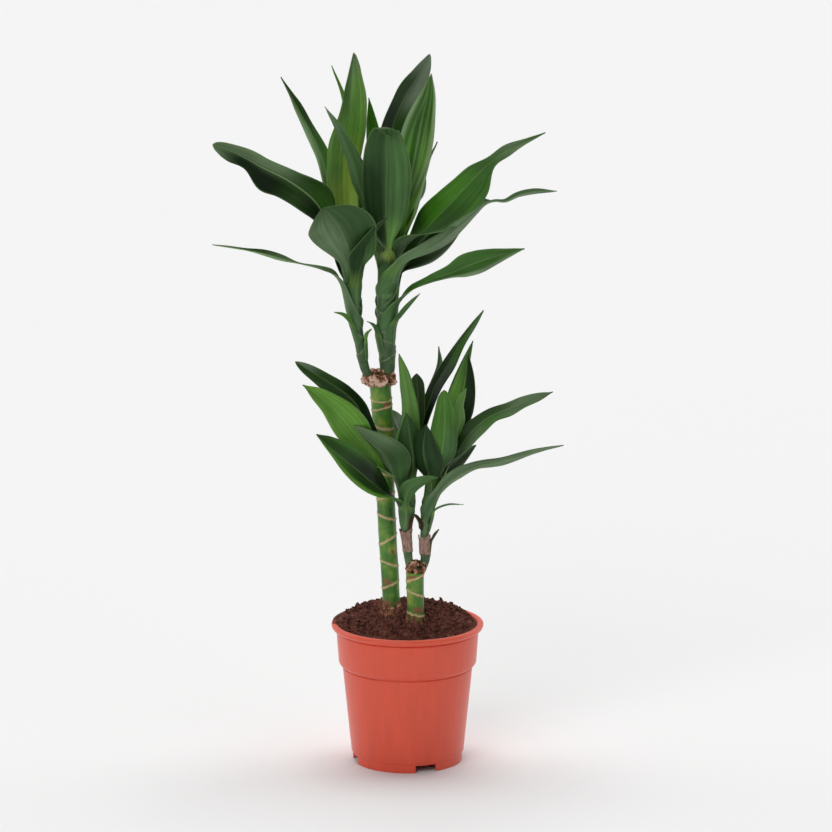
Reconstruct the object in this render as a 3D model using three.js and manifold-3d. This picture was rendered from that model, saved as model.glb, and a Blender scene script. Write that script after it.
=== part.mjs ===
// Potted corn plant (Dracaena fragrans): two canes in a moulded plastic nursery pot, with two leafy
// shoots on each cane. Millimetres, +Z up. The pot stands on z = 0 and the plant is seen from -Y.
// Places are counted from the pot's axis. The whole plant is then moved so that the origin lies
// under the middle of the leaf spread.

import * as THREE from 'three';
import Module from 'manifold-3d';
import { mergeVertices } from 'three/addons/utils/BufferGeometryUtils.js';

const wasm = await Module();
wasm.setup();

// ---------- driving dimensions ----------

const potAxis = { x: 20.5, y: -26 };
const gap = 0.3; // clearance wherever one piece stands in another

const pot = {
  sides: 40,
  height: 158.5,
  rimRadius: 85,
  rimDepth: 7,
  rimRound: 1.6,
  collarTopRadius: 79.5,
  collarFootRadius: 77,
  collarZ: 110,
  shoulderRadius: 72,
  shoulderZ: 101,
  bodyFootRadius: 63,
  wall: 1.5,
  footRadius: 61,
  footWall: 2.4,
  footHeight: 9,
  grooveDepth: 1.4, // the groove above the foot
  grooveHeight: 1.2,
  grooveEdge: 0.5,
  floorZ: 9.5,
  floorThickness: 1.5,
  notchWidth: 24,
  notchHeight: 8.5,
  notchTurns: [20, 108, 195, 282], // degrees round the axis from the front
  drainRadius: 4.5,
  drainPlace: 48,
};

const soil = {
  edgeZ: 151.5,
  edgeDrop: 4,
  heapHeight: 17,
  heapReach: 88,
  heapCentre: [6, 22],
  backRise: 0.06, // the heap is higher at the back
  sideSlope: 1.1,
  topRings: [74, 66, 56, 45, 34, 22, 10],
  lump: 1.3,
  lumpLengths: [7.3, 6.1, 4.1, 5.3],
};

// Marks are leaf scars on a cane and the edges of old sheaths on a stem: height, tilt up to the high
// side, and the turn in degrees that the high side points to.
const tallCane = {
  sides: 12,
  path: [[-16, 6, 94], [-18, 5, 175], [-23.5, 5, 283], [-29, 5, 415], [-31.5, 5, 438]],
  radii: [9, 9.8, 10, 11.8, 12.5],
  marks: [
    [150, 2, 180], [176, 2, 20], [202.5, 4.4, 0], [227.5, 3.6, 180], [254, 5.8, 0], [279, 3.2, 180],
    [302, 4, 350], [325, 3, 200], [349, 4, 20], [374, 3, 160], [397.5, 4, 0], [412, 4, 90],
  ],
  head: { centre: [-31.5, 4, 435.5], reach: [20, 15, 10.5] }, // corky swelling on top
};

const shortCane = {
  sides: 12,
  path: [[9.5, -17, 96], [9.2, -17, 165], [8, -17, 220]],
  radii: [9, 9.4, 9.8],
  marks: [[142, 2, 0], [172, 2.5, 180], [196.5, 4.3, 180], [214, 4, 0]],
  head: { centre: [9.5, -16.5, 225], reach: [12.5, 11.5, 9] },
};

// how a scar stands out of a cane, and the edge of an old sheath out of a leafy stem: height, relief
const scarShape = [[-1.3, 0], [0, 0.9], [1.3, 0]];
const sheathShape = [[-9, 0], [-0.5, 0.8], [0.5, 0]];

const blade = {
  thickness: 0.9,
  rootThickness: 2,
  rootLength: 22, // run inside the stem
  rootWidth: 1.3, // of the stem's radius
  rootFold: 90,
  neckWidth: 0.42, // of the full width
  neckPlace: 0.14, // of the free length
  peak: 0.5,
  taper: 1.8, // more makes a blunter tip
  tipWidth: 1.2,
  tipPlace: 0.93, // where the tip starts to round off
  fold: 40, // how far the whole blade is curved across
  vee: [8, 8], // how far each half is tilted up from the midrib
  waveLength: 62,
  waveLag: 2, // between its two edges, in radians
  stationStep: 22,
  broad: 31, // wider leaves have four facets across instead of two
};

// Each leaf: at, the height on its stem where its root starts; way, the points that its midrib
// passes on to the tip; width; halves, where its two sides differ, their widths at ten even steps
// from the neck to the tip; roll, its turn about the midrib in degrees halfway along and at the tip;
// wave, the rise of its waved edges; taper, where its tip is blunter than the others; fold and vee,
// in degrees, where it is curved or folded otherwise than the others.
const shoots = {
  tall_cane_left_shoot: {
    sides: 10,
    path: [[-41, 1, 433], [-47, 0.5, 448], [-52, 0, 474], [-58, 0, 513], [-60, 0, 540],
      [-61, 2, 565], [-62, 4, 600]],
    radii: [5, 5.8, 6, 6.5, 7, 6, 3],
    marks: [[468, 4, 0], [486, 4, 190], [503, 5, 20], [520, 4, 200]],
    plain: [546, 575],
    leaves: [
      // long waved leaf to the far left
      { at: 535, width: 40, vee: [12, 12], roll: [-108, -95], wave: 2.5,
        halves: [[6, 7, 9, 14, 22, 19, 14, 12, 12, 8, 6], [6, 8, 12, 18, 21, 21, 23, 24, 12, 13, 7]],
        way: [[-84, -12, 598], [-97, -20, 633], [-127, -26, 660], [-158, -30, 677], [-186, -34, 693],
          [-211, -36, 703]] },
      // upright leaf that leans left
      { at: 560, width: 22, vee: [24, 24], roll: [-45, -30], wave: 1,
        halves: [[6, 8, 10, 11, 11, 11, 9, 7, 6, 2.5, 1], [6, 8, 10, 10, 8, 7, 8, 8, 6, 3, 1]],
        way: [[-77, 12, 603], [-86, 26, 643], [-96, 38, 680], [-108, 46, 706], [-119, 50, 726],
          [-128, 54, 744], [-139, 56, 764]] },
      // tallest leaf
      { at: 570, width: 40, roll: [0, 10], wave: 1,
        halves: [[7, 14, 17, 17, 18, 20, 22, 20, 16, 10, 4], [7, 18, 27, 27, 27, 26, 20, 15, 11, 7, 3]],
        way: [[-69, 16, 617], [-71, 20, 644], [-69, 25, 687], [-63, 28, 737], [-58, 30, 794]] },
      // narrow leaf behind the tallest
      { at: 562, width: 12, roll: [20, 40], wave: 1,
        way: [[-63, 40, 640], [-61, 52, 683], [-68, 64, 732], [-83, 68, 775]] },
      // broad leaf that arches to the front
      { at: 522, width: 58, fold: 10, vee: [0, 0, -4, -8, -10], roll: [0, 0], wave: 1,
        halves: [[8, 9, 12, 18, 24, 28, 31, 30, 26, 17, 6], [8, 9, 16, 24, 32, 38, 43, 42, 36, 24, 8]],
        way: [[-62, -22, 571], [-64, -33, 586], [-69, -43, 600], [-75, -53, 613], [-83, -62, 624],
          [-91, -68, 635]] },
      // small leaf behind it
      { at: 508, width: 17, roll: [0, 0], wave: 0.5,
        way: [[-68, 16, 551], [-77, 26, 568], [-81, 32, 577]] },
      // long low leaf to the left
      { at: 490, width: 16, roll: [-60, -20], wave: 0.5,
        halves: [[6, 6, 6, 4, 2, 1.2, 4, 4.5, 3, 1.8, 0.8], [8, 8, 7, 4, 1.5, 1.2, 5, 5, 3, 1.8, 0.8]],
        way: [[-77, -16, 553], [-93, -28, 565], [-121, -40, 574], [-157, -50, 586], [-186, -57, 593],
          [-211, -62, 598]] },
      // leaf stub on the left
      { at: 474, width: 11, roll: [0, 0], wave: 0,
        way: [[-70, -18, 511], [-80, -22, 516]] },
      // dark leaf that crosses in front to the right
      { at: 516, width: 30, roll: [30, 40], wave: 1,
        way: [[-50, -24, 572], [-43, -37, 594], [-33, -50, 612], [-22, -60, 627]] },
      // leaf stub between the two shoots
      { at: 456, width: 9, roll: [0, 0], wave: 0,
        way: [[-44, -4, 488], [-40, -8, 494]] },
      // leaves at the back
      { at: 548, width: 36, roll: [0, 10], wave: 2,
        way: [[-61, 30, 614], [-64, 58, 637], [-67, 90, 653], [-72, 122, 655], [-77, 146, 644]] },
      { at: 530, width: 26, roll: [10, 20], wave: 2,
        way: [[-98, 18, 620], [-118, 34, 635], [-141, 56, 645], [-158, 74, 648]] },
      { at: 502, width: 32, roll: [10, 10], wave: 2,
        way: [[-69, 24, 561], [-77, 50, 582], [-86, 84, 597], [-96, 112, 602]] },
    ],
  },
  tall_cane_right_shoot: {
    sides: 12,
    path: [[-23, 6, 433], [-22, 6, 450], [-23, 6, 475], [-24, 6, 512], [-23, 7, 540],
      [-20, 8, 565], [-17, 9, 604]],
    radii: [7.5, 9, 10, 10.5, 10, 8, 4],
    marks: [[462, 5, 30], [477, 5, 200], [493, 6, 10], [510, 5, 170]],
    plain: [540, 572],
    leaves: [
      // dark leaf that leans over to the left
      { at: 560, width: 24, roll: [10, 20], wave: 1,
        halves: [[8, 9, 9, 10, 11.5, 12, 11, 10, 6, 3.5, 1], [8, 9, 9, 10, 11, 12, 12, 10, 7, 3.5, 1]],
        way: [[-34, -8, 598], [-43, -14, 627], [-52, -20, 656], [-61, -24, 686], [-74, -25, 717],
          [-89, -24, 743]] },
      // front leaf whose tip curls over
      { at: 545, width: 54, fold: 10, vee: [0, 0, 0, -14, -20], roll: [0, 0], wave: 0.3,
        halves: [[4, 3, 9, 17, 23, 26, 27, 26, 23, 17, 9], [4, 3, 9, 18, 24, 26, 27, 26, 22, 16, 9]],
        way: [[-22, -26, 598], [-23, -40, 637], [-22, -50, 677], [-22, -57, 704], [-21, -64, 723],
          [-20, -72, 728], [-18, -79, 719]] },
      // tall dark leaf
      { at: 572, width: 30, roll: [10, 20], wave: 1,
        halves: [[7, 10, 13, 14, 14, 14, 15, 15, 14, 10, 4], [7, 10, 13, 15, 15, 15, 15, 15, 16, 12, 4]],
        way: [[-19, 28, 614], [-24, 33, 658], [-17, 40, 707], [-4, 46, 739], [13, 52, 765],
          [25, 56, 789]] },
      // tall striped leaf
      { at: 565, width: 42, taper: 2.1, roll: [60, 70], wave: 1,
        way: [[-4, 10, 622], [6, 14, 670], [15, 18, 716], [23, 20, 750], [26, 22, 772]] },
      // narrow pale leaf to the right
      { at: 552, width: 18, roll: [20, 30], wave: 0.5,
        halves: [[6, 8, 9, 9, 8, 6.5, 4.5, 2.5, 1.5, 1, 0.6],
          [6, 8, 9, 9, 8, 6.5, 4.5, 2.5, 1.5, 1, 0.6]],
        way: [[-3, 20, 597], [6, 34, 621], [14, 46, 642], [21, 58, 662], [26, 68, 675], [33, 78, 689]] },
      // big leaf to the upper right
      { at: 545, width: 44, roll: [104, 84], wave: 1,
        halves: [[6, 12, 24, 34, 40, 40, 28, 7, 6.5, 4, 1], [4, 6, 6, 9, 12, 15, 13.5, 7, 7, 3, 1]],
        way: [[-3, -6, 597], [19, -11, 621], [41, -14, 643], [63, -17, 663], [87, -19, 681],
          [117, -20, 698], [150, -20, 714]] },
      // leaf below it, underside showing
      { at: 524, width: 18, roll: [-40, -30], wave: 0.3,
        halves: [[10, 8, 9, 10, 9, 6, 2.5, 1.5, 3, 3.5, 1], [10, 8, 9, 10, 9, 6, 2.5, 1.5, 3, 3.5, 1]],
        way: [[-5, -18, 570], [19, -28, 584], [39, -38, 598], [57, -42, 614], [73, -44, 629],
          [85, -46, 640], [95, -46, 643], [106, -48, 643], [120, -50, 650], [138, -52, 654],
          [162, -54, 655]] },
      // leaf in its shade
      { at: 512, width: 34, roll: [30, 20], wave: 1,
        way: [[-10, 20, 552], [6, 28, 562], [27, 36, 575], [47, 44, 588], [64, 50, 601]] },
      // lowest long leaf on the right
      { at: 486, width: 27, roll: [85, 70], wave: 0.5,
        halves: [[8, 8, 7, 5, 5, 6, 12, 14, 11, 7, 1], [6, 6, 6.5, 5, 6, 9, 14, 13, 9, 4, 1]],
        way: [[-10, -2, 521], [5, -8, 538], [25, -14, 550], [47, -19, 558], [69, -23, 568],
          [90, -26, 576], [112, -27, 583], [128, -28, 587]] },
      // leaf stubs
      { at: 474, width: 13, roll: [0, 0], wave: 0,
        way: [[-6, -10, 510], [2, -15, 521], [13, -19, 536]] },
      { at: 462, width: 9, roll: [0, 0], wave: 0,
        way: [[-37, -4, 496], [-44, -8, 503]] },
      // light leaf behind
      { at: 566, width: 24, roll: [0, 0], wave: 1,
        way: [[-28, 34, 616], [-34, 46, 660], [-39, 56, 702], [-42, 62, 740]] },
      // leaves at the back
      { at: 540, width: 34, roll: [0, -10], wave: 2,
        way: [[-6, 34, 608], [3, 60, 626], [9, 90, 636], [10, 118, 636], [8, 142, 626]] },
      { at: 526, width: 36, roll: [10, 20], wave: 2,
        way: [[4, 26, 574], [32, 48, 602], [64, 72, 618], [96, 96, 620]] },
      { at: 534, width: 34, roll: [-10, -10], wave: 2,
        way: [[-36, 32, 580], [-48, 60, 612], [-58, 92, 628], [-66, 124, 624]] },
      { at: 500, width: 34, roll: [0, 0], wave: 2,
        way: [[-3, 24, 562], [20, 46, 574], [40, 72, 582], [56, 98, 588]] },
    ],
  },
  short_cane_left_shoot: {
    sides: 10,
    path: [[5, -16, 216], [1.5, -15, 233], [0, -15, 250], [-2, -15, 268], [-1, -15, 286],
      [1, -14, 324], [3, -12, 350],
      [5, -10, 378]],
    radii: [4, 5, 5, 5.8, 6.5, 6.8, 5, 3],
    marks: [[246, 3, 20], [262, 3, 190], [280, 4, 10], [298, 4, 180]],
    plain: [325, 350],
    leaves: [
      // dark leaf to the upper left, at the back
      { at: 305, width: 19, roll: [-100, -85], wave: 1,
        halves: [[5, 5, 6, 8, 9, 10, 9, 9, 8, 6, 3], [8, 6, 6, 8, 9, 9, 11, 13, 12, 9, 5]],
        way: [[-28, -32, 357], [-45, -40, 392], [-56, -44, 416], [-68, -46, 429], [-93, -50, 447],
          [-122, -52, 466]] },
      // broad waved leaf
      { at: 296, width: 38, roll: [-105, -90], wave: 2,
        halves: [[5, 6, 8, 12, 15, 19, 21, 19, 14, 8, 1], [9, 8, 8, 11, 14, 16, 18, 16, 12, 8, 1]],
        way: [[-24, -38, 341], [-39, -48, 361], [-57, -58, 385], [-76, -68, 411], [-95, -76, 431],
          [-113, -82, 446]] },
      // lowest leaf on the left
      { at: 272, width: 38, roll: [-85, -70], wave: 1,
        halves: [[6, 8, 11, 16, 19, 20, 19, 19, 16, 10, 1.5], [7, 8, 11, 15, 18, 19, 18, 15, 11, 7, 1.5]],
        way: [[-19, -40, 313], [-36, -56, 329], [-52, -68, 346], [-71, -80, 365], [-85, -86, 379],
          [-98, -90, 393]] },
      // leaf that arches to the front
      { at: 282, width: 38, roll: [0, 0], wave: 0.5,
        halves: [[6, 6, 6, 7, 10, 12, 11, 8, 7, 4, 1.5], [8, 8, 10, 16, 22, 26, 26, 22, 17, 9, 2]],
        way: [[-9, -30, 322], [-16, -40, 339], [-22, -48, 356], [-32, -54, 369], [-45, -58, 382],
          [-58, -60, 397]] },
      // leaf that curves across to the right
      { at: 268, width: 20, roll: [0, 0], wave: 0.5,
        way: [[-2, -36, 307], [2, -44, 321], [12, -50, 329], [24, -54, 335], [34, -57, 338]] },
      // bright upright leaf
      { at: 322, width: 22, roll: [-20, -10], wave: 1,
        halves: [[6, 8, 10, 10, 10, 9, 8, 7, 5, 3, 1], [6, 8, 10, 12, 12, 12, 11, 9, 7, 4, 1]],
        way: [[2, -26, 369], [1, -28, 404], [-3, -28, 438], [-9, -28, 470]] },
      // dark leaf tip behind it
      { at: 330, width: 18, roll: [0, 0], wave: 0.5,
        halves: [[5, 6, 7, 8, 9, 9, 9, 9, 9, 8, 3], [5, 6, 7, 8, 9, 9, 9, 9, 9, 8, 3]],
        way: [[8, 6, 372], [12, 12, 400], [10, 18, 438]] },
      // narrow leaf
      { at: 300, width: 16, roll: [0, 0], wave: 1,
        way: [[6, -34, 348], [3, -42, 376], [-1, -48, 408]] },
      // long leaf to the upper right
      { at: 330, width: 16, roll: [50, 60], wave: 1,
        halves: [[6, 7, 7, 7, 7.5, 8, 8, 6.5, 5, 3, 1], [6, 7, 7, 7, 7.5, 8, 8, 6.5, 5, 3, 1]],
        way: [[16, 8, 382], [31, 18, 424], [47, 25, 450], [64, 30, 478], [85, 34, 506]] },
      // small leaf behind it
      { at: 320, width: 14, roll: [20, 20], wave: 0.5,
        way: [[12, 16, 372], [26, 30, 410], [36, 42, 442], [35, 46, 463]] },
      // short bright leaf in the heart
      { at: 312, width: 18, roll: [0, 0], wave: 0.5,
        way: [[-6, -26, 356], [-7, -32, 378], [0, -38, 394]] },
      // leaves at the back
      { at: 302, width: 34, roll: [0, 0], wave: 2,
        way: [[-4, 22, 337], [-6, 52, 355], [-15, 84, 373], [-22, 110, 379]] },
      { at: 276, width: 33, roll: [20, 20], wave: 2,
        way: [[0, 12, 318], [-6, 42, 342], [-20, 74, 358], [-38, 104, 362]] },
      { at: 316, width: 28, roll: [0, 0], wave: 1.5,
        way: [[2, 12, 356], [6, 40, 376], [9, 72, 391], [12, 100, 396]] },
      // dry leaf that hangs from the stem
      { at: 262, width: 9, roll: [0, 60], wave: 0,
        way: [[8, -22, 286], [13, -23, 279], [16, -21, 268]] },
    ],
  },
  short_cane_right_shoot: {
    sides: 10,
    path: [[14, -16, 216], [19.5, -15, 233], [19, -15, 250], [19, -15, 268], [21, -15, 286],
      [24, -15, 302],
      [31, -15, 326], [36, -14, 364]],
    radii: [4, 5.5, 5.5, 5, 6, 6.5, 6, 3],
    marks: [[246, 3, 170], [260, 3, 10], [276, 4, 200], [292, 4, 20]],
    plain: [318, 340],
    leaves: [
      // broad dark leaf with a pale midrib
      { at: 318, width: 34, roll: [50, 60], wave: 1,
        way: [[48, -6, 366], [56, -3, 396], [63, 0, 430], [67, 4, 464]] },
      // broad bright leaf in front
      { at: 300, width: 32, roll: [0, 0], wave: 1.5,
        halves: [[5, 4, 7, 13, 15, 16, 16, 14, 11, 8, 4], [5, 4, 8, 15, 17, 17, 15, 13, 11, 8, 4]],
        way: [[34, -40, 345], [39, -50, 372], [41, -56, 402], [40, -60, 436]] },
      // small light leaf
      { at: 308, width: 17, roll: [-20, -20], wave: 0.5,
        halves: [[4, 4, 5, 7, 8, 9, 9, 8.5, 7, 5, 1], [4, 4, 5, 7, 8, 9, 9, 8.5, 7, 5, 1]],
        way: [[49, -28, 373], [57, -33, 392], [57, -36, 411], [60, -38, 423], [64, -40, 434]] },
      // long leaf to the right
      { at: 296, width: 22, roll: [75, 65], wave: 1,
        halves: [[6, 7, 9, 12, 12, 11, 8, 9, 6, 5, 1], [5, 6, 8, 10, 11, 10, 9, 7, 7, 5, 1]],
        way: [[48, -16, 349], [60, -20, 366], [75, -23, 385], [92, -26, 399], [116, -28, 410],
          [138, -28, 419], [160, -28, 427]] },
      // lowest long leaf, underside showing
      { at: 280, width: 17, roll: [-40, -20], wave: 0.5,
        halves: [[8, 8, 10, 10, 7, 5, 4, 4, 3.5, 2.5, 1], [8, 12, 12, 8, 5, 8, 11, 10, 5, 2.5, 1]],
        way: [[37, -28, 316], [52, -38, 332], [74, -46, 346], [102, -53, 355], [134, -58, 365],
          [171, -60, 375]] },
      // grey leaf under the long one
      { at: 288, width: 20, roll: [40, 40], wave: 0.5,
        way: [[40, -4, 328], [56, 0, 344], [76, 4, 360]] },
      // thin leaf low on the right
      { at: 262, width: 7, roll: [0, 0], wave: 0,
        way: [[30, -18, 291], [44, -21, 298], [62, -24, 300]] },
      // dark leaf in the heart
      { at: 296, width: 22, roll: [0, 0], wave: 1,
        way: [[24, -38, 336], [18, -48, 366], [21, -54, 396]] },
      // thin leaf tip behind the long leaf
      { at: 326, width: 18, roll: [30, 40], wave: 0.5,
        way: [[42, 8, 372], [54, 26, 418], [73, 38, 471]] },
      // leaves at the back
      { at: 304, width: 33, roll: [0, 10], wave: 2,
        way: [[46, 16, 329], [53, 44, 351], [60, 74, 373], [62, 102, 382]] },
      { at: 310, width: 26, roll: [20, 20], wave: 2,
        way: [[62, 10, 368], [81, 30, 377], [98, 50, 384], [112, 66, 388]] },
      // dry stub
      { at: 232, width: 7, roll: [0, 0], wave: 0,
        way: [[28, -13, 258], [34, -11, 268]] },
    ],
  },
};

const colours = {
  pot: '#ce5b48',
  soil: '#3f2622',
  cane: '#4c7a35',
  shoot: '#2f5c26',
};

// ---------- shared helpers ----------

const up = new THREE.Vector3(0, 0, 1);
const degree = THREE.MathUtils.DEG2RAD;
const smooth = (value, from, to) => THREE.MathUtils.smoothstep(value, from, to);
const mix = THREE.MathUtils.lerp;

function vectors(points) {
  return points.map((point) => new THREE.Vector3(...point));
}

function curveThrough(points) {
  return new THREE.CatmullRomCurve3(vectors(points), false, 'centripetal');
}

// A closed geometry as a solid, with its faces turned outwards.
function solidOf(geometry) {
  const bare = geometry.clone();
  bare.deleteAttribute('normal');
  bare.deleteAttribute('uv');
  const merged = mergeVertices(bare, 1e-4);
  const triangles = Uint32Array.from(merged.index.array);
  const volume = signedVolume(merged.attributes.position, triangles);
  if (volume < 0) {
    triangles.reverse();
  }
  const vertices = Float32Array.from(merged.attributes.position.array);
  const mesh = new wasm.Mesh({ numProp: 3, vertProperties: vertices, triVerts: triangles });
  return new wasm.Manifold(mesh);
}

function signedVolume(position, triangles) {
  const [a, b, c] = vectors([[0, 0, 0], [0, 0, 0], [0, 0, 0]]);
  let volume = 0;
  for (let i = 0; i < triangles.length; i += 3) {
    a.fromBufferAttribute(position, triangles[i]);
    b.fromBufferAttribute(position, triangles[i + 1]);
    c.fromBufferAttribute(position, triangles[i + 2]);
    volume += a.dot(b.cross(c)) / 6;
  }
  return volume;
}

function meshOf(solid, name, color, roughness) {
  const { vertProperties, triVerts, numProp } = solid.getMesh();
  const corners = new Float32Array(triVerts.length * 3);
  triVerts.forEach((vertex, i) => {
    corners.set(vertProperties.slice(vertex * numProp, vertex * numProp + 3), i * 3);
  });
  const geometry = new THREE.BufferGeometry();
  geometry.setAttribute('position', new THREE.BufferAttribute(corners, 3));
  geometry.computeVertexNormals();
  const mesh = new THREE.Mesh(geometry, new THREE.MeshStandardMaterial({ color, roughness }));
  mesh.name = name;
  return mesh;
}

// Rings of points joined into one closed skin, with a fan of triangles over each end.
function skinOf(rings) {
  const size = rings[0].length;
  const positions = rings.flat().flatMap((point) => point.toArray());
  const indices = [];
  for (let i = 0; i + 1 < rings.length; i += 1) {
    for (let k = 0; k < size; k += 1) {
      const here = i * size + k;
      const next = i * size + ((k + 1) % size);
      indices.push(here, next, next + size, here, next + size, here + size);
    }
  }
  const last = (rings.length - 1) * size;
  for (let k = 1; k + 1 < size; k += 1) {
    indices.push(0, k + 1, k, last, last + k, last + k + 1);
  }
  const geometry = new THREE.BufferGeometry();
  geometry.setAttribute('position', new THREE.Float32BufferAttribute(positions, 3));
  geometry.setIndex(indices);
  return geometry;
}

// A place along a listed path: its point, its radius and the direction onward.
function placeOn(part, z) {
  const curve = curveThrough(part.path);
  const heights = part.path.map((point) => point[2]);
  let span = 0;
  while (span < heights.length - 2 && heights[span + 1] < z) {
    span += 1;
  }
  const within = (z - heights[span]) / (heights[span + 1] - heights[span]);
  const along = Math.min(1, Math.max(0, (span + within) / (heights.length - 1)));
  const radius = mix(part.radii[span], part.radii[span + 1], smooth(within, 0, 1));
  return { point: curve.getPoint(along), tangent: curve.getTangent(along), radius };
}

// ---------- pot ----------

function latheOf(outline, sides) {
  const points = outline.map(([radius, z]) => new THREE.Vector2(radius, z));
  const geometry = new THREE.LatheGeometry(points, sides);
  geometry.rotateX(Math.PI / 2);
  return geometry;
}

// The inside of the wall, from the floor up to the foot of the collar.
function innerWall() {
  return [
    [pot.bodyFootRadius - pot.wall, pot.floorZ + pot.floorThickness],
    [pot.shoulderRadius - pot.wall, pot.shoulderZ],
    [pot.collarFootRadius - pot.wall, pot.collarZ],
  ];
}

function makePot() {
  const rimZ = pot.height - pot.rimDepth;
  const footInner = pot.footRadius - pot.footWall;
  const grooveRadius = pot.bodyFootRadius - pot.grooveDepth;
  const grooveZ = pot.footHeight + pot.grooveEdge;
  const outline = [
    [0, pot.floorZ],
    [footInner, pot.floorZ],
    [footInner, 0],
    [pot.footRadius, 0],
    [pot.footRadius + pot.grooveEdge, pot.footHeight],
    [grooveRadius, grooveZ],
    [grooveRadius, grooveZ + pot.grooveHeight],
    [pot.bodyFootRadius, grooveZ + pot.grooveHeight + pot.grooveEdge],
    [pot.shoulderRadius, pot.shoulderZ],
    [pot.collarFootRadius, pot.collarZ],
    [pot.collarTopRadius, rimZ],
    [pot.rimRadius - pot.rimRound / 2, rimZ],
    [pot.rimRadius, rimZ + pot.rimRound],
    [pot.rimRadius, pot.height - pot.rimRound],
    [pot.rimRadius - pot.rimRound, pot.height],
    [pot.collarTopRadius, pot.height],
    [pot.collarTopRadius - pot.wall, pot.height - pot.rimRound],
    ...innerWall().reverse(),
    [0, pot.floorZ + pot.floorThickness],
  ];
  let solid = solidOf(latheOf(outline, pot.sides));
  for (const turn of pot.notchTurns) {
    const notch = new THREE.BoxGeometry(pot.notchWidth, 4 * pot.footWall, 2 * pot.notchHeight);
    notch.translate(0, -pot.footRadius, 0);
    notch.rotateZ(turn * degree);
    const drain = new THREE.CylinderGeometry(pot.drainRadius, pot.drainRadius, 4 * pot.floorThickness, 10);
    drain.rotateX(Math.PI / 2);
    drain.translate(0, -pot.drainPlace, pot.floorZ);
    drain.rotateZ(turn * degree);
    solid = solid.subtract(solidOf(notch)).subtract(solidOf(drain));
  }
  return solid;
}

// ---------- soil ----------

function heapZ(x, y) {
  const away = Math.hypot(x - soil.heapCentre[0], y - soil.heapCentre[1]) / soil.heapReach;
  const heap = soil.heapHeight * Math.max(0, 1 - away * away) + soil.backRise * y;
  const [a, b, c, d] = soil.lumpLengths;
  const lumps = Math.sin(x / a + 1) * Math.sin(y / b) + 0.7 * Math.sin(x / c - y / d);
  const side = (pot.collarTopRadius - Math.hypot(x, y)) * soil.sideSlope;
  return soil.edgeZ + Math.min(heap + soil.lump * lumps, side);
}

function makeSoil(canes) {
  const wall = innerWall().map(([radius, z]) => [radius - gap, z]);
  wall[0][1] += gap;
  const edge = [pot.collarTopRadius - pot.wall - 2 * gap, soil.edgeZ - soil.edgeDrop];
  const topRings = soil.topRings.map((radius) => [radius, pot.height]);
  const outline = [[0, wall[0][1]], ...wall, edge, ...topRings, [0, pot.height]];
  const geometry = latheOf(outline, pot.sides);
  const position = geometry.attributes.position;
  for (let i = 0; i < position.count; i += 1) {
    if (position.getZ(i) > soil.edgeZ) {
      position.setZ(i, heapZ(position.getX(i), position.getY(i)));
    }
  }
  const holes = canes.map((cane) => solidOf(stalkSkin(cane, scarShape, gap)));
  return holes.reduce((solid, hole) => solid.subtract(hole), solidOf(geometry));
}

// ---------- canes and stems ----------

function ringRound({ point, radius }, sides, tilt = 0, toward = 0) {
  return Array.from({ length: sides }, (_, k) => {
    const angle = (k / sides) * 2 * Math.PI;
    const lift = tilt * Math.cos(angle - toward * degree);
    return new THREE.Vector3(Math.cos(angle) * radius, Math.sin(angle) * radius, lift).add(point);
  });
}

// The skin of a round stalk along its path. Each of its marks, at [height, tilt, toward], is a raised
// ring. Spread by a clearance, it is the hole that the foot of the stalk stands in.
function stalkSkin(part, markShape, clearance = 0) {
  const places = [{ z: part.path[0][2] }];
  for (const [z, tilt, toward] of part.marks) {
    for (const [step, relief] of markShape) {
      places.push({ z: z + step, relief, tilt, toward });
    }
  }
  for (const z of part.plain ?? []) {
    places.push({ z });
  }
  places.push({ z: part.path.at(-1)[2] });
  const rings = places.map(({ z, relief = 0, tilt, toward }) => {
    const place = placeOn(part, z);
    place.radius += relief + clearance;
    return ringRound(place, part.sides, tilt, toward);
  });
  rings[0].forEach((point) => {
    point.z -= clearance;
  });
  return skinOf(rings);
}

// Corky swelling on top of a cane, with a rough skin.
function headOf({ centre, reach }) {
  const geometry = new THREE.SphereGeometry(1, 14, 9);
  const position = geometry.attributes.position;
  const point = new THREE.Vector3();
  for (let i = 0; i < position.count; i += 1) {
    point.fromBufferAttribute(position, i);
    const rough = 1 + 0.06 * Math.sin(9 * point.x + 4 * point.z) * Math.cos(8 * point.y - 5 * point.z);
    position.setXYZ(i, ...point.multiplyScalar(rough).toArray());
  }
  geometry.scale(...reach);
  geometry.translate(...centre);
  return solidOf(geometry);
}

function makeCane(cane, standing) {
  const whole = solidOf(stalkSkin(cane, scarShape)).add(headOf(cane.head));
  const holes = standing.map((shoot) => solidOf(stalkSkin(shoot, sheathShape, gap)));
  return holes.reduce((solid, hole) => solid.subtract(hole), whole);
}

// ---------- leaves ----------

// Where the midrib runs: from its root inside the stem out along its way.
function midribOf(leaf, shoot) {
  const low = placeOn(shoot, leaf.at);
  const high = placeOn(shoot, leaf.at + blade.rootLength);
  const outward = new THREE.Vector3(...leaf.way[0]).sub(high.point).setZ(0).normalize();
  const start = low.point.clone().addScaledVector(outward, 0.2 * low.radius);
  const end = high.point.clone().addScaledVector(outward, 0.7 * high.radius);
  const curve = new THREE.CatmullRomCurve3([start, end, ...vectors(leaf.way)], false, 'centripetal');
  return { curve, outward, rootWidth: blade.rootWidth * low.radius };
}

function widthAt(free, { width, taper = blade.taper }, rootWidth) {
  const neck = Math.max(blade.neckWidth * width, 0.8 * rootWidth);
  if (free < blade.neckPlace) {
    return mix(rootWidth, neck, smooth(free, 0, blade.neckPlace));
  }
  if (free < blade.peak) {
    return mix(neck, width, smooth(free, blade.neckPlace, blade.peak));
  }
  const past = (free - blade.peak) / (1 - blade.peak);
  return Math.max(width * (1 - past ** taper), blade.tipWidth);
}

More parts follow.
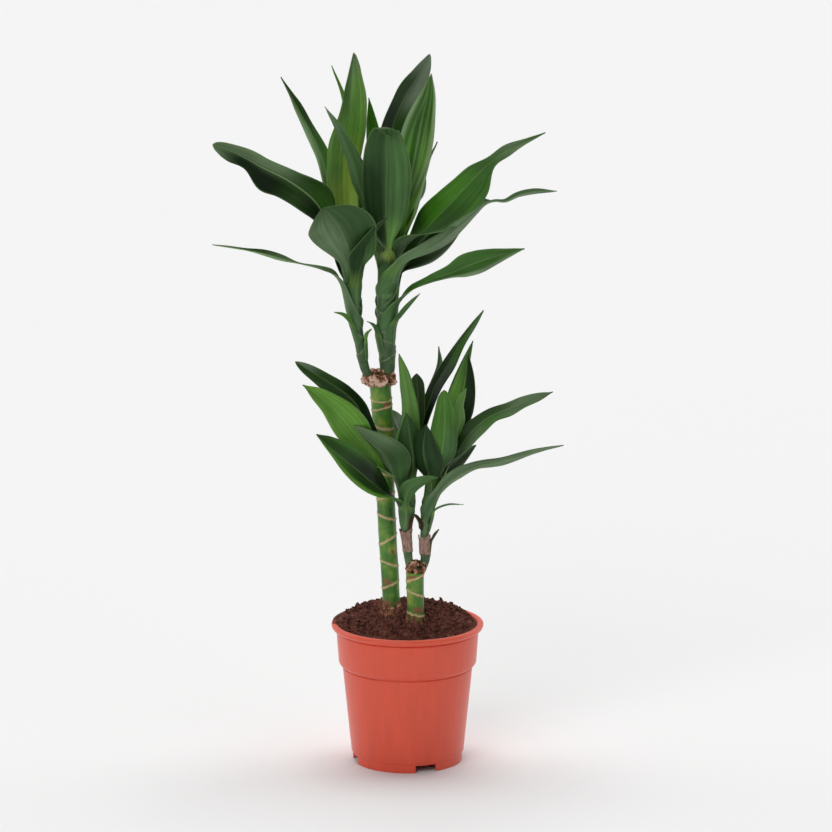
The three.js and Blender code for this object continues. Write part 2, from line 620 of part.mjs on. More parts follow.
// A value listed at even steps from the neck of a leaf to its tip, on a smooth curve.
function valueAt(free, values) {
  const steps = values.length - 1;
  const span = Math.min(Math.floor(free * steps), steps - 1);
  const share = free * steps - span;
  const [a, b, c, d] = [-1, 0, 1, 2].map((k) => values[Math.min(Math.max(span + k, 0), steps)]);
  const square = a - 2.5 * b + 2 * c - d / 2;
  const cubic = 1.5 * (b - c) + (d - a) / 2;
  return b + share * ((c - a) / 2 + share * (square + share * cubic));
}

// How far a blade reaches on each side of its midrib.
function halvesAt(free, leaf, rootWidth) {
  if (!leaf.halves) {
    const half = widthAt(free, leaf, rootWidth) / 2;
    return [half, half];
  }
  const pastRound = Math.max(0, (free - blade.tipPlace) / (1 - blade.tipPlace));
  const tip = Math.sqrt(Math.max(0, 1 - pastRound ** 2));
  const rooted = smooth(free, 0, 0.1);
  return leaf.halves.map((half) => {
    const reach = mix(rootWidth / 2, valueAt(free, half), rooted) * tip;
    return Math.max(reach, blade.tipWidth / 2);
  });
}

// One ring of points round a blade: its upper face, then its underside back again.
function sectionOf({ point, side, face, halves, vee, fold, thickness, edgeRise }, across) {
  const radius = (halves[0] + halves[1]) / fold;
  const top = [];
  const under = [];
  for (let k = 0; k <= across; k += 1) {
    const part = (2 * k) / across - 1;
    const half = part > 0 ? 1 : 0;
    const bend = vee + (Math.abs(part) * halves[half]) / radius;
    const off = Math.sign(part) * radius * (Math.sin(bend) - Math.sin(vee));
    const lift = radius * (Math.cos(vee) - Math.cos(bend)) + part * part * edgeRise[half];
    const slope = Math.sign(part) * bend;
    const middle = point.clone().addScaledVector(side, off).addScaledVector(face, lift);
    const normal = face.clone().multiplyScalar(Math.cos(slope)).addScaledVector(side, -Math.sin(slope));
    top.push(middle.clone().addScaledVector(normal, thickness / 2));
    under.unshift(middle.clone().addScaledVector(normal, -thickness / 2));
  }
  return [...top, ...under];
}

function leafOf(leaf, shoot, order) {
  const { curve, outward, rootWidth } = midribOf(leaf, shoot);
  const length = curve.getLength();
  const count = Math.max(5, Math.round(length / blade.stationStep));
  const across = leaf.width > blade.broad ? 4 : 2;
  const side = up.clone().cross(outward);
  const rings = [];
  for (let i = 0; i <= count; i += 1) {
    const along = i / count;
    const free = Math.max(0, (along * length - blade.rootLength) / (length - blade.rootLength));
    const tangent = curve.getTangentAt(along);
    side.addScaledVector(tangent, -side.dot(tangent)).normalize();
    const turned = side.clone().applyAxisAngle(tangent, valueAt(free, [0, ...leaf.roll]) * degree);
    const swell = leaf.wave * smooth(free, 0.1, 0.35) * (1 - smooth(free, 0.8, 1));
    const phase = (along * length * 2 * Math.PI) / blade.waveLength + order;
    rings.push(sectionOf({
      point: curve.getPointAt(along),
      side: turned,
      face: tangent.clone().cross(turned),
      halves: halvesAt(free, leaf, rootWidth),
      vee: valueAt(free, leaf.vee ?? blade.vee) * smooth(free, 0, 0.3) * degree,
      fold: mix(blade.rootFold, leaf.fold ?? blade.fold, smooth(free, 0, 0.4)) * degree,
      thickness: mix(blade.rootThickness, blade.thickness, smooth(free, 0, 0.3)),
      edgeRise: [swell * Math.sin(phase), swell * Math.sin(phase + blade.waveLag)],
    }, across));
  }
  return solidOf(bladeSkin(rings, across));
}

// Both faces of a blade are split along the same diagonals, so that they never cross.
function bladeSkin(rings, across) {
  const geometry = skinOf(rings);
  const size = rings[0].length;
  const indices = [];
  const quad = (a, b, c, d, split) => {
    indices.push(...(split ? [a, b, c, a, c, d] : [a, b, d, b, c, d]));
  };
  for (let i = 0; i + 1 < rings.length; i += 1) {
    for (let k = 0; k < size; k += 1) {
      const here = i * size + k;
      const next = i * size + ((k + 1) % size);
      quad(here, next, next + size, here + size, k <= across);
    }
  }
  const last = (rings.length - 1) * size;
  for (let k = 0; k < across; k += 1) {
    const under = size - 1 - k;
    quad(k, under, under - 1, k + 1, true);
    quad(last + k, last + k + 1, last + under - 1, last + under, true);
  }
  geometry.setIndex(indices);
  return geometry;
}

// A stem with its leaves fused to it. Pockets that the fused leaves seal off are filled.
function makeShoot(shoot) {
  const leaves = shoot.leaves.map((leaf, order) => leafOf(leaf, shoot, order));
  const whole = wasm.Manifold.union([solidOf(stalkSkin(shoot, sheathShape)), ...leaves]);
  return whole.decompose().reduce((largest, body) => (body.volume() > largest.volume() ? body : largest));
}

// ---------- the plant ----------

const tallShoots = [shoots.tall_cane_left_shoot, shoots.tall_cane_right_shoot];
const shortShoots = [shoots.short_cane_left_shoot, shoots.short_cane_right_shoot];

const plant = new THREE.Group();
plant.add(meshOf(makePot(), 'pot', colours.pot, 0.45));
plant.add(meshOf(makeSoil([tallCane, shortCane]), 'soil', colours.soil, 0.95));
plant.add(meshOf(makeCane(tallCane, tallShoots), 'tall_cane', colours.cane, 0.6));
plant.add(meshOf(makeCane(shortCane, shortShoots), 'short_cane', colours.cane, 0.6));
for (const [name, shoot] of Object.entries(shoots)) {
  plant.add(meshOf(makeShoot(shoot), name, colours.shoot, 0.45));
}
plant.position.set(potAxis.x, potAxis.y, 0);

export default plant;
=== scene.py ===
# Potted corn plant: four leafy shoots on two bare canes, in a moulded plastic nursery pot.
# Places are in millimetres from the pot's axis. finishPiece puts each piece into the frame, in metres.

import math
import random

import bmesh
import bpy
from mathutils import Matrix, Quaternion, Vector, noise


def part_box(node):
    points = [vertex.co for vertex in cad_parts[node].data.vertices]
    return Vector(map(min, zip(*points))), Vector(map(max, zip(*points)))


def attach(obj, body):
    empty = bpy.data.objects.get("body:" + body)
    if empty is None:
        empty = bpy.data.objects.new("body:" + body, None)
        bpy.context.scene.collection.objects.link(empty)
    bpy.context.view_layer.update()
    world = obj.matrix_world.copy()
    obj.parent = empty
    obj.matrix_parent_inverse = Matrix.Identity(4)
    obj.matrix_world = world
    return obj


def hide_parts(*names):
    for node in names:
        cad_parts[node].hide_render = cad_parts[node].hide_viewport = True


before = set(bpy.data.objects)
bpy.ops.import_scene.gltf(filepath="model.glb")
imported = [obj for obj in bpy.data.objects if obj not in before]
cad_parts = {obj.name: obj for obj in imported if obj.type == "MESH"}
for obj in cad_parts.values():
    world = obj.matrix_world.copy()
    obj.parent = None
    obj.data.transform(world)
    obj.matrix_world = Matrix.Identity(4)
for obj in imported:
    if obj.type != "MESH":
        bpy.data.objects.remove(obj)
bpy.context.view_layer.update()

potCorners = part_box("pot")
potAxis = (potCorners[0] + potCorners[1]) / 2
potAxis.z = 0
millimetre = 0.001
mergeDistance = 0.001  # corners nearer than this, in millimetres, are joined


def mix(a, b, share):
    return a + (b - a) * share


def smooth(value, start, end):
    share = min(1, max(0, (value - start) / (end - start)))
    return share * share * (3 - 2 * share)


def linear(hexColour):
    channels = [int(hexColour[i:i + 2], 16) / 255 for i in (1, 3, 5)]
    return (*[c / 12.92 if c < 0.04045 else ((c + 0.055) / 1.055) ** 2.4 for c in channels], 1)


def perMetre(size):  # texture scale for a pattern of that size in millimetres
    return 1 / (size * millimetre)


# Inputs are values, sockets or nodes, by name or in order. A node gives its first output.
# Stops are the places and colours of a colour ramp, from low to high.
def addNode(tree, kind, settings={}, inputs={}, stops=()):
    node = tree.nodes.new("ShaderNode" + kind)
    for name, value in settings.items():
        setattr(node, name, value)
    for name, value in inputs.items() if isinstance(inputs, dict) else enumerate(inputs):
        if isinstance(value, bpy.types.Node):
            value = value.outputs[0]
        if isinstance(value, bpy.types.NodeSocket):
            tree.links.new(value, node.inputs[name])
        else:
            node.inputs[name].default_value = value
    for order, (position, colour) in enumerate(stops):
        elements = node.color_ramp.elements
        element = elements[order] if order < 2 else elements.new(position)
        element.position = position
        element.color = linear(colour)
    return node


def newMaterial(name):
    material = bpy.data.materials.new(name)
    material.use_nodes = True
    material.node_tree.nodes.clear()
    return material, material.node_tree


def finishMaterial(tree, settings):
    shader = addNode(tree, "BsdfPrincipled", {}, settings)
    addNode(tree, "OutputMaterial", {}, {"Surface": shader})


def newObject(bm, name, materials=()):
    mesh = bpy.data.meshes.new(name)
    bm.to_mesh(mesh)
    bm.free()
    for material in materials:
        mesh.materials.append(material)
    made = bpy.data.objects.new(name, mesh)
    bpy.context.scene.collection.objects.link(made)
    return made


def intoFrame(bm):
    bmesh.ops.translate(bm, verts=bm.verts, vec=potAxis / millimetre)
    bmesh.ops.scale(bm, verts=bm.verts, vec=[millimetre] * 3)


def finishPiece(bm, name, materials, replaced):
    intoFrame(bm)
    for face in bm.faces:
        face.smooth = True
    piece = newObject(bm, name, materials)
    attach(piece, "root")
    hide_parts(*replaced)
    return piece


# A grid rolled into a closed tube: pointAt(turn, share, vert) places each corner.
def rollGrid(bm, around, rows, pointAt, capped=True):
    grid = bmesh.ops.create_grid(bm, x_segments=around, y_segments=rows, size=1)["verts"]
    for vert in grid:
        vert.co = pointAt((vert.co.x + 1) * math.pi, (vert.co.y + 1) / 2, vert)
    bmesh.ops.remove_doubles(bm, verts=grid, dist=mergeDistance)
    if capped:
        rims = [edge for edge in bm.edges if edge.is_boundary]
        bmesh.ops.holes_fill(bm, edges=rims, sides=0)


# Centripetal Catmull-Rom curve: the point at a share of one span of its knots.
def spanPoint(knots, span, share):
    a, b, c, d = knots[span:span + 4]
    ab, bc, cd = [math.sqrt((q - p).length) for p, q in ((a, b), (b, c), (c, d))]
    leave = ((b - a) / ab - (c - a) / (ab + bc) + (c - b) / bc) * bc
    arrive = ((c - b) / bc - (d - b) / (bc + cd) + (d - c) / cd) * bc
    cubic = 2 * b - 2 * c + leave + arrive
    square = 3 * c - 3 * b - 2 * leave - arrive
    return b + share * (leave + share * (square + share * cubic))


def knotsOf(points):
    points = [Vector(point) for point in points]
    return [2 * points[0] - points[1], *points, 2 * points[-1] - points[-2]]


# The same curve as points at nearly even steps of its length, and that length.
def evenCurve(points, step):
    samples, fewestRows, justInside = 40, 12, 1e-6
    knots = knotsOf(points)
    dense = [spanPoint(knots, span, k / samples) for span in range(len(points) - 1) for k in range(samples)]
    dense.append(Vector(points[-1]))
    reach = [0]
    for p, q in zip(dense, dense[1:]):
        reach.append(reach[-1] + (q - p).length)
    rows = max(fewestRows, round(reach[-1] / step))
    even = []
    at = 0
    for k in range(rows + 1):
        target = min(reach[-1] * k / rows, reach[-1] - justInside)
        while reach[at + 1] < target:
            at += 1
        share = (target - reach[at]) / (reach[at + 1] - reach[at])
        even.append(dense[at].lerp(dense[at + 1], share))
    return even, reach[-1]


# The middle and the radius of a stalk at a height.
def placeOn(stalk, z):
    heights = [point[2] for point in stalk["path"]]
    span = 0
    while span < len(heights) - 2 and heights[span + 1] < z:
        span += 1
    share = (z - heights[span]) / (heights[span + 1] - heights[span])
    radius = mix(stalk["radii"][span], stalk["radii"][span + 1], smooth(share, 0, 1))
    return spanPoint(knotsOf(stalk["path"]), span, min(1, max(0, share))), radius


# Noise of several sizes, from about -1 to 1. Each octave is a bit over twice as fine as the last.
def rough(point, size, octaves=3):
    dimension, fineness = 0.8, 2.1
    return noise.fractal(point / size, dimension, fineness, octaves, noise_basis="PERLIN_ORIGINAL")


def turned(radius, turn):
    return Vector((radius * math.cos(turn), radius * math.sin(turn), 0))


# A point round a stalk at which noise is read. Its height is squeezed, which draws the noise out lengthwise.
def noisePlace(turn, z, radius, squeeze):
    return Vector((math.cos(turn), math.sin(turn), z / squeeze)) * radius


print("camera, light and floor")

studio = {
    "cameraPlace": (0.030, -4.826, 1.43094),
    "cameraTilt": 77.80676,  # degrees from straight down
    "lens": 191.91,
    "sensor": 36,
    "clipEnd": 100,
    "backdropWhite": 0.9,
    "worldFront": 0.04,  # the dark room behind the camera
    "worldBack": 0.6,  # the white backdrop behind the plant
    "floorSize": 30,
    "floorColour": "#e5e5e5",
}

# softboxes: strength, width in degrees as seen from the plant, azimuth from the front to the right, height
softboxes = {
    "overheadSoftbox": (1.7, 40, 180, 75),
    "leftSoftbox": (1.12, 40, -24, 34),
    "rightSoftbox": (0.2, 40, 48, 32),
    "backLeftSoftbox": (0.45, 40, -118, 30),
    "backRightSoftbox": (0.5, 40, 118, 30),
}


def addCamera():
    camera = bpy.data.objects.new("camera", bpy.data.cameras.new("camera"))
    camera.data.lens = studio["lens"]
    camera.data.sensor_width = studio["sensor"]
    camera.data.clip_end = studio["clipEnd"]
    camera.location = studio["cameraPlace"]
    camera.rotation_euler = (math.radians(studio["cameraTilt"]), 0, 0)
    bpy.context.scene.collection.objects.link(camera)
    bpy.context.scene.camera = camera


def addSoftboxes():
    for name, (strength, width, azimuth, height) in softboxes.items():
        lamp = bpy.data.lights.new(name, "SUN")
        lamp.energy = strength
        lamp.angle = math.radians(width)
        box = bpy.data.objects.new(name, lamp)
        box.rotation_euler = (math.radians(90 - height), 0, math.radians(azimuth))
        bpy.context.scene.collection.objects.link(box)


# The camera sees a white backdrop; the plant is lit by a room that is dark in front and bright behind.
def makeWorld():
    world = bpy.data.worlds.new("studio")
    world.use_nodes = True
    tree = world.node_tree
    tree.nodes.clear()
    direction = addNode(tree, "TexCoord").outputs["Generated"]
    forward = addNode(tree, "SeparateXYZ", {}, (direction,)).outputs["Y"]
    room = addNode(tree, "MapRange", {"interpolation_type": "SMOOTHSTEP"}, {
        "Value": forward, "From Min": -0.5, "From Max": 0.5,
        "To Min": studio["worldFront"], "To Max": studio["worldBack"]})
    seen = addNode(tree, "LightPath").outputs["Is Camera Ray"]
    strength = addNode(tree, "Mix", {}, {0: seen, 2: room, 3: studio["backdropWhite"]})
    light = addNode(tree, "Background", {}, {"Strength": strength})
    addNode(tree, "OutputWorld", {}, {"Surface": light})
    bpy.context.scene.world = world


def makeFloor():
    material, tree = newMaterial("matt floor paint")
    finishMaterial(tree, {"Base Color": linear(studio["floorColour"]), "Roughness": 0.9,
                          "Specular IOR Level": 0.0})
    bm = bmesh.new()
    bmesh.ops.create_grid(bm, x_segments=1, y_segments=1, size=studio["floorSize"] / 2)
    floor = newObject(bm, "floor", [material])


addCamera()
addSoftboxes()
makeWorld()
makeFloor()
bpy.context.scene.view_settings.view_transform = "Standard"

print("pot")

pot = {
    "steps": 180,
    "height": 158.5,
    "rimRadius": 85,
    "rimDepth": 7,
    "rimRound": 1.6,
    "cornerRound": 0.4,
    "roundSteps": 4,
    "crease": 0.9,  # the dark line where one wall meets another
    "collarTopRadius": 79.5,
    "collarFootRadius": 77,
    "collarZ": 113,
    "shoulderRadius": 72.7,
    "shoulderZ": 108,
    "bodyFootRadius": 63,
    "wall": 1.5,
    "footRadius": 61,
    "footWall": 2.4,
    "footHeight": 9,
    "grooveDepth": 1.4,
    "grooveHeight": 1.2,
    "grooveEdge": 0.5,
    "floorZ": 9.5,
    "floorThickness": 1.5,
    "notchWidth": 24,
    "notchHeight": 8.5,
    "notchTurns": (20, 108, 195, 282),  # degrees round the axis from the front
    "drainRadius": 4.5,
    "drainPlace": 48,
    "drainSteps": 32,
    "colour": "#e0543a",
    "sparkSize": 0.9,
    "sparkDepth": 0.1,
    "streakSize": 9,
}


# Injection-moulded polypropylene: satin, with a fine spark texture and faint flow streaks down the wall.
def polypropylene():
    material, tree = newMaterial("moulded polypropylene")
    place = addNode(tree, "TexCoord").outputs["Object"]
    streakPlace = addNode(tree, "Mapping", {}, {0: place, "Scale": (1, 1, 0.12)})
    streak = addNode(tree, "TexNoise", {}, {
        "Vector": streakPlace, "Scale": perMetre(pot["streakSize"]), "Detail": 3})
    shade = addNode(tree, "MapRange", {}, {
        "Value": streak, "From Min": 0.3, "From Max": 0.7, "To Min": 0.94, "To Max": 1.05})
    colour = addNode(tree, "VectorMath", {"operation": "SCALE"}, {
        0: linear(pot["colour"])[:3], "Scale": shade})
    spark = addNode(tree, "TexNoise", {}, {
        "Vector": place, "Scale": perMetre(pot["sparkSize"]), "Detail": 2})
    gloss = addNode(tree, "MapRange", {}, {
        "Value": streak, "From Min": 0.3, "From Max": 0.7, "To Min": 0.36, "To Max": 0.46})
    bump = addNode(tree, "Bump", {}, {
        "Strength": 0.25, "Distance": pot["sparkDepth"] * millimetre, "Height": spark})
    finishMaterial(tree, {"Base Color": colour, "Roughness": gloss, "Normal": bump, "IOR": 1.49,
                          "Sheen Weight": 0.15, "Sheen Roughness": 0.4})
    return material


# Corners of the section, up the outside and down the inside: radius, height, and how far each is rounded.
def potOutline():
    wall, crease = pot["wall"], pot["crease"]
    soft, sharp = pot["rimRound"], pot["cornerRound"]
    rim, top = pot["rimRadius"], pot["height"]
    rimZ = top - pot["rimDepth"]
    footInner = pot["footRadius"] - pot["footWall"]
    groove = pot["bodyFootRadius"] - pot["grooveDepth"]
    grooveZ = pot["footHeight"] + pot["grooveEdge"]
    grooveTopZ = grooveZ + pot["grooveHeight"]
    shoulder, shoulderZ = pot["shoulderRadius"], pot["shoulderZ"]
    slot = shoulder - crease  # the slot under the collar reads as a dark line
    collarTop, collarFoot = pot["collarTopRadius"], pot["collarFootRadius"]
    floorTopZ = pot["floorZ"] + pot["floorThickness"]
    return [
        (0, pot["floorZ"], 0),
        (footInner, pot["floorZ"], sharp),
        (footInner, 0, sharp),
        (pot["footRadius"], 0, sharp),
        (pot["footRadius"] + pot["grooveEdge"], pot["footHeight"], sharp),
        (groove, grooveZ, sharp),
        (groove, grooveTopZ, sharp),
        (pot["bodyFootRadius"], grooveTopZ + pot["grooveEdge"], sharp),
        (shoulder, shoulderZ, sharp),
        (slot, shoulderZ + 0.4 * crease, 0),
        (slot, shoulderZ + 1.6 * crease, 0),
        (shoulder + crease, shoulderZ + 2 * crease, sharp),
        (collarFoot, pot["collarZ"], soft),
        (collarTop, rimZ - 2.5 * crease, sharp),
        (collarTop - crease, rimZ - 1.5 * crease, sharp),
        (collarTop - crease, rimZ, sharp),
        (rim - 1.5 * soft, rimZ, sharp),
        (rim, rimZ + 1.5 * soft, 1.2 * soft),
        (rim, top - soft, soft / 2),
        (rim - soft, top, soft / 2),
        (collarTop, top, soft),
        (collarTop - wall, top - soft, sharp),
        (collarFoot - wall, pot["collarZ"] + wall, soft),
        (slot - wall, shoulderZ + 2 * crease, soft),
        (pot["bodyFootRadius"] - wall, floorTopZ, sharp),
        (0, floorTopZ, 0),
    ]


# A box for one notch in the foot ring and a rod for one drain hole, both long enough to pass through.
def cutterFor(bm, turn):
    notch = bmesh.ops.create_cube(bm, size=1)["verts"]
    bmesh.ops.scale(bm, verts=notch, vec=(pot["notchWidth"], 4 * pot["footWall"], 2 * pot["notchHeight"]))
    bmesh.ops.translate(bm, verts=notch, vec=(0, -pot["footRadius"], 0))
    drain = bmesh.ops.create_cone(
        bm, cap_ends=True, segments=pot["drainSteps"], depth=4 * pot["floorThickness"],
        radius1=pot["drainRadius"], radius2=pot["drainRadius"])["verts"]
    bmesh.ops.translate(bm, verts=drain, vec=(0, -pot["drainPlace"], pot["floorZ"]))
    spin = Quaternion((0, 0, 1), math.radians(turn)).to_matrix()
    bmesh.ops.rotate(bm, verts=notch + drain, cent=(0, 0, 0), matrix=spin)


def makePot():
    bm = bmesh.new()
    outline = potOutline()
    corners = [bm.verts.new((radius, 0, z)) for radius, z, _ in outline]
    for a, b in zip(corners, corners[1:]):
        bm.edges.new((a, b))
    for corner, (_, _, rounding) in zip(corners, outline):
        if rounding:
            bmesh.ops.bevel(bm, geom=[corner], offset=rounding, offset_type="OFFSET", affect="VERTICES",
                            segments=pot["roundSteps"], profile=0.5, material=-1)
    bmesh.ops.spin(bm, geom=bm.verts[:] + bm.edges[:], cent=(0, 0, 0), axis=(0, 0, 1),
                   angle=2 * math.pi, steps=pot["steps"], use_merge=True)
    bmesh.ops.remove_doubles(bm, verts=bm.verts, dist=mergeDistance)
    bmesh.ops.recalc_face_normals(bm, faces=bm.faces)
    piece = finishPiece(bm, "nursery_pot", [polypropylene()], ["pot"])

    cutters = bmesh.new()
    for turn in pot["notchTurns"]:
        cutterFor(cutters, turn)
    intoFrame(cutters)
    cutter = newObject(cutters, "potCutters")
    cut = piece.modifiers.new("notches", "BOOLEAN")
    cut.operation = "DIFFERENCE"
    cut.object = cutter
    cut.solver = "EXACT"
    whole = bpy.data.meshes.new_from_object(piece.evaluated_get(bpy.context.evaluated_depsgraph_get()))
    piece.modifiers.remove(cut)
    piece.data = whole
    bpy.data.objects.remove(cutter)


makePot()

print("soil")

soil = {
    "edgeZ": 154.5,
    "edgeDrop": 7,
    "heapHeight": 14,
    "heapReach": 88,
    "heapCentre": (6, 22),
    "backRise": 0.06,
    "sideSlope": 1.1,
    "gap": 0.3,
    "cells": 150,
    "lumpSize": 7,
    "lumpHeight": 3.4,
    "spillFrom": (92, 108),  # degrees round the rim where soil spills over it, fading in and out
    "spillTo": (186, 204),
    "spillRadius": 84,
    "spillZ": 159,
    "spillRise": 4.5,
    "spillReach": (50, 78),  # from the axis, where the soil rises to the spill
    "spillShare": (0.8, 1),  # shares of the radius over which the soil spreads out to the spill
    "dark": "#2c1712",
    "brown": "#6a3f35",
    "light": "#9a6c5a",
    "patchSize": 7,
    "gritSize": 1.6,
    "gritDepth": 0.8,
}

crumbs = {
    "seed": 11,
    "count": 2600,
    "sizes": (0.7, 3.8),
    "margin": 4,
    "width": (0.5, 1),  # as shares of the length
    "height": (0.4, 0.9),
    "rise": 0.15,  # share of the size that a crumb stands up from the soil
    "dents": (0.6, 1.15),
}

fibres = {
    "seed": 12,
    "count": 260,
    "colour": "#a8765a",
    "patchSize": 5,
    "sides": 4,
    "tipWidth": 0.2,
    "startMargin": 10,
    "margin": 4,
    "steps": 2,
    "step": (3, 7),
    "bend": 1.2,
    "rise": (0.1, 0.9),
    "radius": (0.15, 0.4),
}


def spillAt(x, y):
    turn = math.degrees(math.atan2(y, x)) % 360
    return smooth(turn, *soil["spillFrom"]) * (1 - smooth(turn, *soil["spillTo"]))


def heapZ(x, y):
    away = math.hypot(x - soil["heapCentre"][0], y - soil["heapCentre"][1]) / soil["heapReach"]
    heap = soil["heapHeight"] * max(0, 1 - away * away) + soil["backRise"] * y
    lumps = soil["lumpHeight"] * rough(Vector((x, y, 5)), soil["lumpSize"], 4)
    radius = math.hypot(x, y)
    spill = spillAt(x, y)
    side = (pot["collarTopRadius"] - radius) * soil["sideSlope"]
    spiltSide = soil["spillZ"] - soil["edgeZ"] + (soil["spillRadius"] - radius) * soil["sideSlope"] / 2
    heap += soil["spillRise"] * spill * smooth(radius, *soil["spillReach"])
    return soil["edgeZ"] + min(heap + lumps, mix(side, spiltSide, spill))


# Damp peat-based potting soil: matt, near black in its hollows, with red-brown crumbs and paler fibres.
def pottingSoil():
    material, tree = newMaterial("damp potting soil")
    place = addNode(tree, "TexCoord").outputs["Object"]
    patches = addNode(tree, "TexNoise", {}, {
        "Vector": place, "Scale": perMetre(soil["patchSize"]), "Detail": 8, "Roughness": 0.8})
    colour = addNode(tree, "ValToRGB", {}, (patches,), [
        (0.36, soil["dark"]), (0.55, soil["brown"]), (0.72, soil["light"])])
    grit = addNode(tree, "TexNoise", {}, {
        "Vector": place, "Scale": perMetre(soil["gritSize"]), "Detail": 4, "Roughness": 0.7})
    bump = addNode(tree, "Bump", {}, {
        "Strength": 0.9, "Distance": soil["gritDepth"] * millimetre, "Height": grit})
    finishMaterial(tree, {"Base Color": colour, "Roughness": 0.95, "Normal": bump,
                          "Specular IOR Level": 0.15})
    return material


# Coir and root fibre: dry, matt, tan to red-brown.
def coirFibre():
    material, tree = newMaterial("coir fibre")
    place = addNode(tree, "TexCoord").outputs["Object"]
    patches = addNode(tree, "TexNoise", {}, {"Vector": place, "Scale": perMetre(fibres["patchSize"])})
    colour = addNode(tree, "ValToRGB", {}, (patches,), [(0.35, soil["brown"]), (0.7, fibres["colour"])])
    finishMaterial(tree, {"Base Color": colour, "Roughness": 0.9, "Specular IOR Level": 0.2})
    return material


# A fibre is a thin tube that tapers at both ends.
def addFibre(bm, points, radius):
    knots = knotsOf(points)
    spans = len(points) - 1

    def pointAt(turn, share, _):
        span = min(int(share * spans), spans - 1)
        middle = spanPoint(knots, span, share * spans - span)
        return middle + turned(radius * (fibres["tipWidth"] + math.sin(math.pi * share)), turn)

    rollGrid(bm, fibres["sides"], 2 * spans, pointAt, capped=False)


def makeSoil():
    bm = bmesh.new()
    radius = pot["collarTopRadius"] - pot["wall"] - 2 * soil["gap"]
    top = bmesh.ops.create_grid(bm, x_segments=soil["cells"], y_segments=soil["cells"], size=1)["verts"]
    for vert in top:
        x, y = vert.co.x, vert.co.y
        disc = Vector((x * math.sqrt(1 - y * y / 2), y * math.sqrt(1 - x * x / 2), 0))
        disc *= mix(radius, soil["spillRadius"], spillAt(x, y) * smooth(disc.length, *soil["spillShare"]))
        vert.co = (disc.x, disc.y, heapZ(disc.x, disc.y))
    inset = pot["wall"] + soil["gap"]
    restZ = pot["height"] + soil["gap"]
    floorTopZ = pot["floorZ"] + pot["floorThickness"]
    sides = [
        (radius, restZ),
        (radius, soil["edgeZ"] - soil["edgeDrop"]),
        (pot["collarFootRadius"] - inset, pot["collarZ"] + 2 * pot["wall"]),
        (pot["shoulderRadius"] - pot["crease"] - inset, pot["shoulderZ"]),
        (pot["bodyFootRadius"] - inset, floorTopZ + soil["gap"]),
    ]
    rim = [edge for edge in bm.edges if edge.is_boundary]
    for order, (sideRadius, z) in enumerate(sides):
        grown = bmesh.ops.extrude_edge_only(bm, edges=rim)["geom"]
        for vert in [part for part in grown if isinstance(part, bmesh.types.BMVert)]:
            if order == 0:  # only the spilt soil rests on the rim
                z = mix(min(vert.co.z, restZ), restZ, spillAt(vert.co.x, vert.co.y))
            flat = Vector((vert.co.x, vert.co.y, 0)).normalized() * sideRadius
            vert.co = (flat.x, flat.y, z)
        rim = [part for part in grown if isinstance(part, bmesh.types.BMEdge)]
    bmesh.ops.holes_fill(bm, edges=rim, sides=0)
    bmesh.ops.recalc_face_normals(bm, faces=bm.faces)
    finishPiece(bm, "potting_soil", [pottingSoil()], ["soil"])


def spotOnSoil(rng, margin):
    radius = (pot["collarTopRadius"] - margin) * math.sqrt(rng.random())
    place = turned(radius, rng.uniform(0, 2 * math.pi))
    place.z = heapZ(place.x, place.y)
    return place


def makeCrumbs():
    rng = random.Random(crumbs["seed"])
    bm = bmesh.new()
    for _ in range(crumbs["count"]):
        size = mix(*crumbs["sizes"], rng.random() ** 3)
        place = spotOnSoil(rng, crumbs["margin"] + size)
        spin = Quaternion(Vector((rng.random(), rng.random(), 1)), rng.uniform(0, 6))
        stretch = (size, size * rng.uniform(*crumbs["width"]), size * rng.uniform(*crumbs["height"]))
        pose = Matrix.LocRotScale(place + Vector((0, 0, crumbs["rise"] * size)), spin.normalized(), stretch)
        crumb = bmesh.ops.create_icosphere(bm, subdivisions=1, radius=1, matrix=pose)["verts"]
        for vert in crumb:
            vert.co = place.lerp(vert.co, rng.uniform(*crumbs["dents"]))
    finishPiece(bm, "soil_crumbs", [pottingSoil()], ["soil"])


def makeSoilFibres():
    rng = random.Random(fibres["seed"])
    bm = bmesh.new()
    for _ in range(fibres["count"]):
        start = spotOnSoil(rng, fibres["startMargin"])
        heading = turned(rng.uniform(*fibres["step"]), rng.uniform(0, 2 * math.pi))
        points = [start]
        for _ in range(fibres["steps"]):
            swerve = Vector((rng.gauss(0, fibres["bend"]), rng.gauss(0, fibres["bend"]), 0))
            ahead = points[-1] + heading + swerve
            inside = min(1, (pot["collarTopRadius"] - fibres["margin"]) / math.hypot(ahead.x, ahead.y))
            ahead.x *= inside
            ahead.y *= inside
            ahead.z = heapZ(ahead.x, ahead.y) + rng.uniform(*fibres["rise"])
            points.append(ahead)
        addFibre(bm, points, rng.uniform(*fibres["radius"]))
    finishPiece(bm, "soil_fibres", [coirFibre()], ["soil"])


makeSoil()
makeCrumbs()
makeSoilFibres()

print("canes")

bark = {
    "rowLength": 0.8,
    "around": 72,
    "scarWidth": 1.3,
    "scarHeight": 0.8,
    "scarReach": 5,
    "scarWobble": 0.7,
    "scarRagged": 0.5,  # how much the width of a scar varies
    "fluting": 0.22,
    "fluteSqueeze": 40,
    "noiseRadius": 10,
    "noiseSqueeze": 60,
    "lumps": 0.35,
    "tornEdge": (0.75, 1.0),  # shares of a patch's size between which it fades
    "tornRagged": 0.5,
    "tornDepth": 0.5,
    "tornRise": 0.4,  # over 0, torn bark stands up more than it sinks in
    "green": "#508626",
    "darkGreen": "#356420",
    "yellow": "#8ea03c",
    "scar": "#d9bd8e",
    "brown": "#8a6442",
    "fluteSize": 1.6,
    "fluteDepth": 0.3,
    "blotchSize": 17,
}

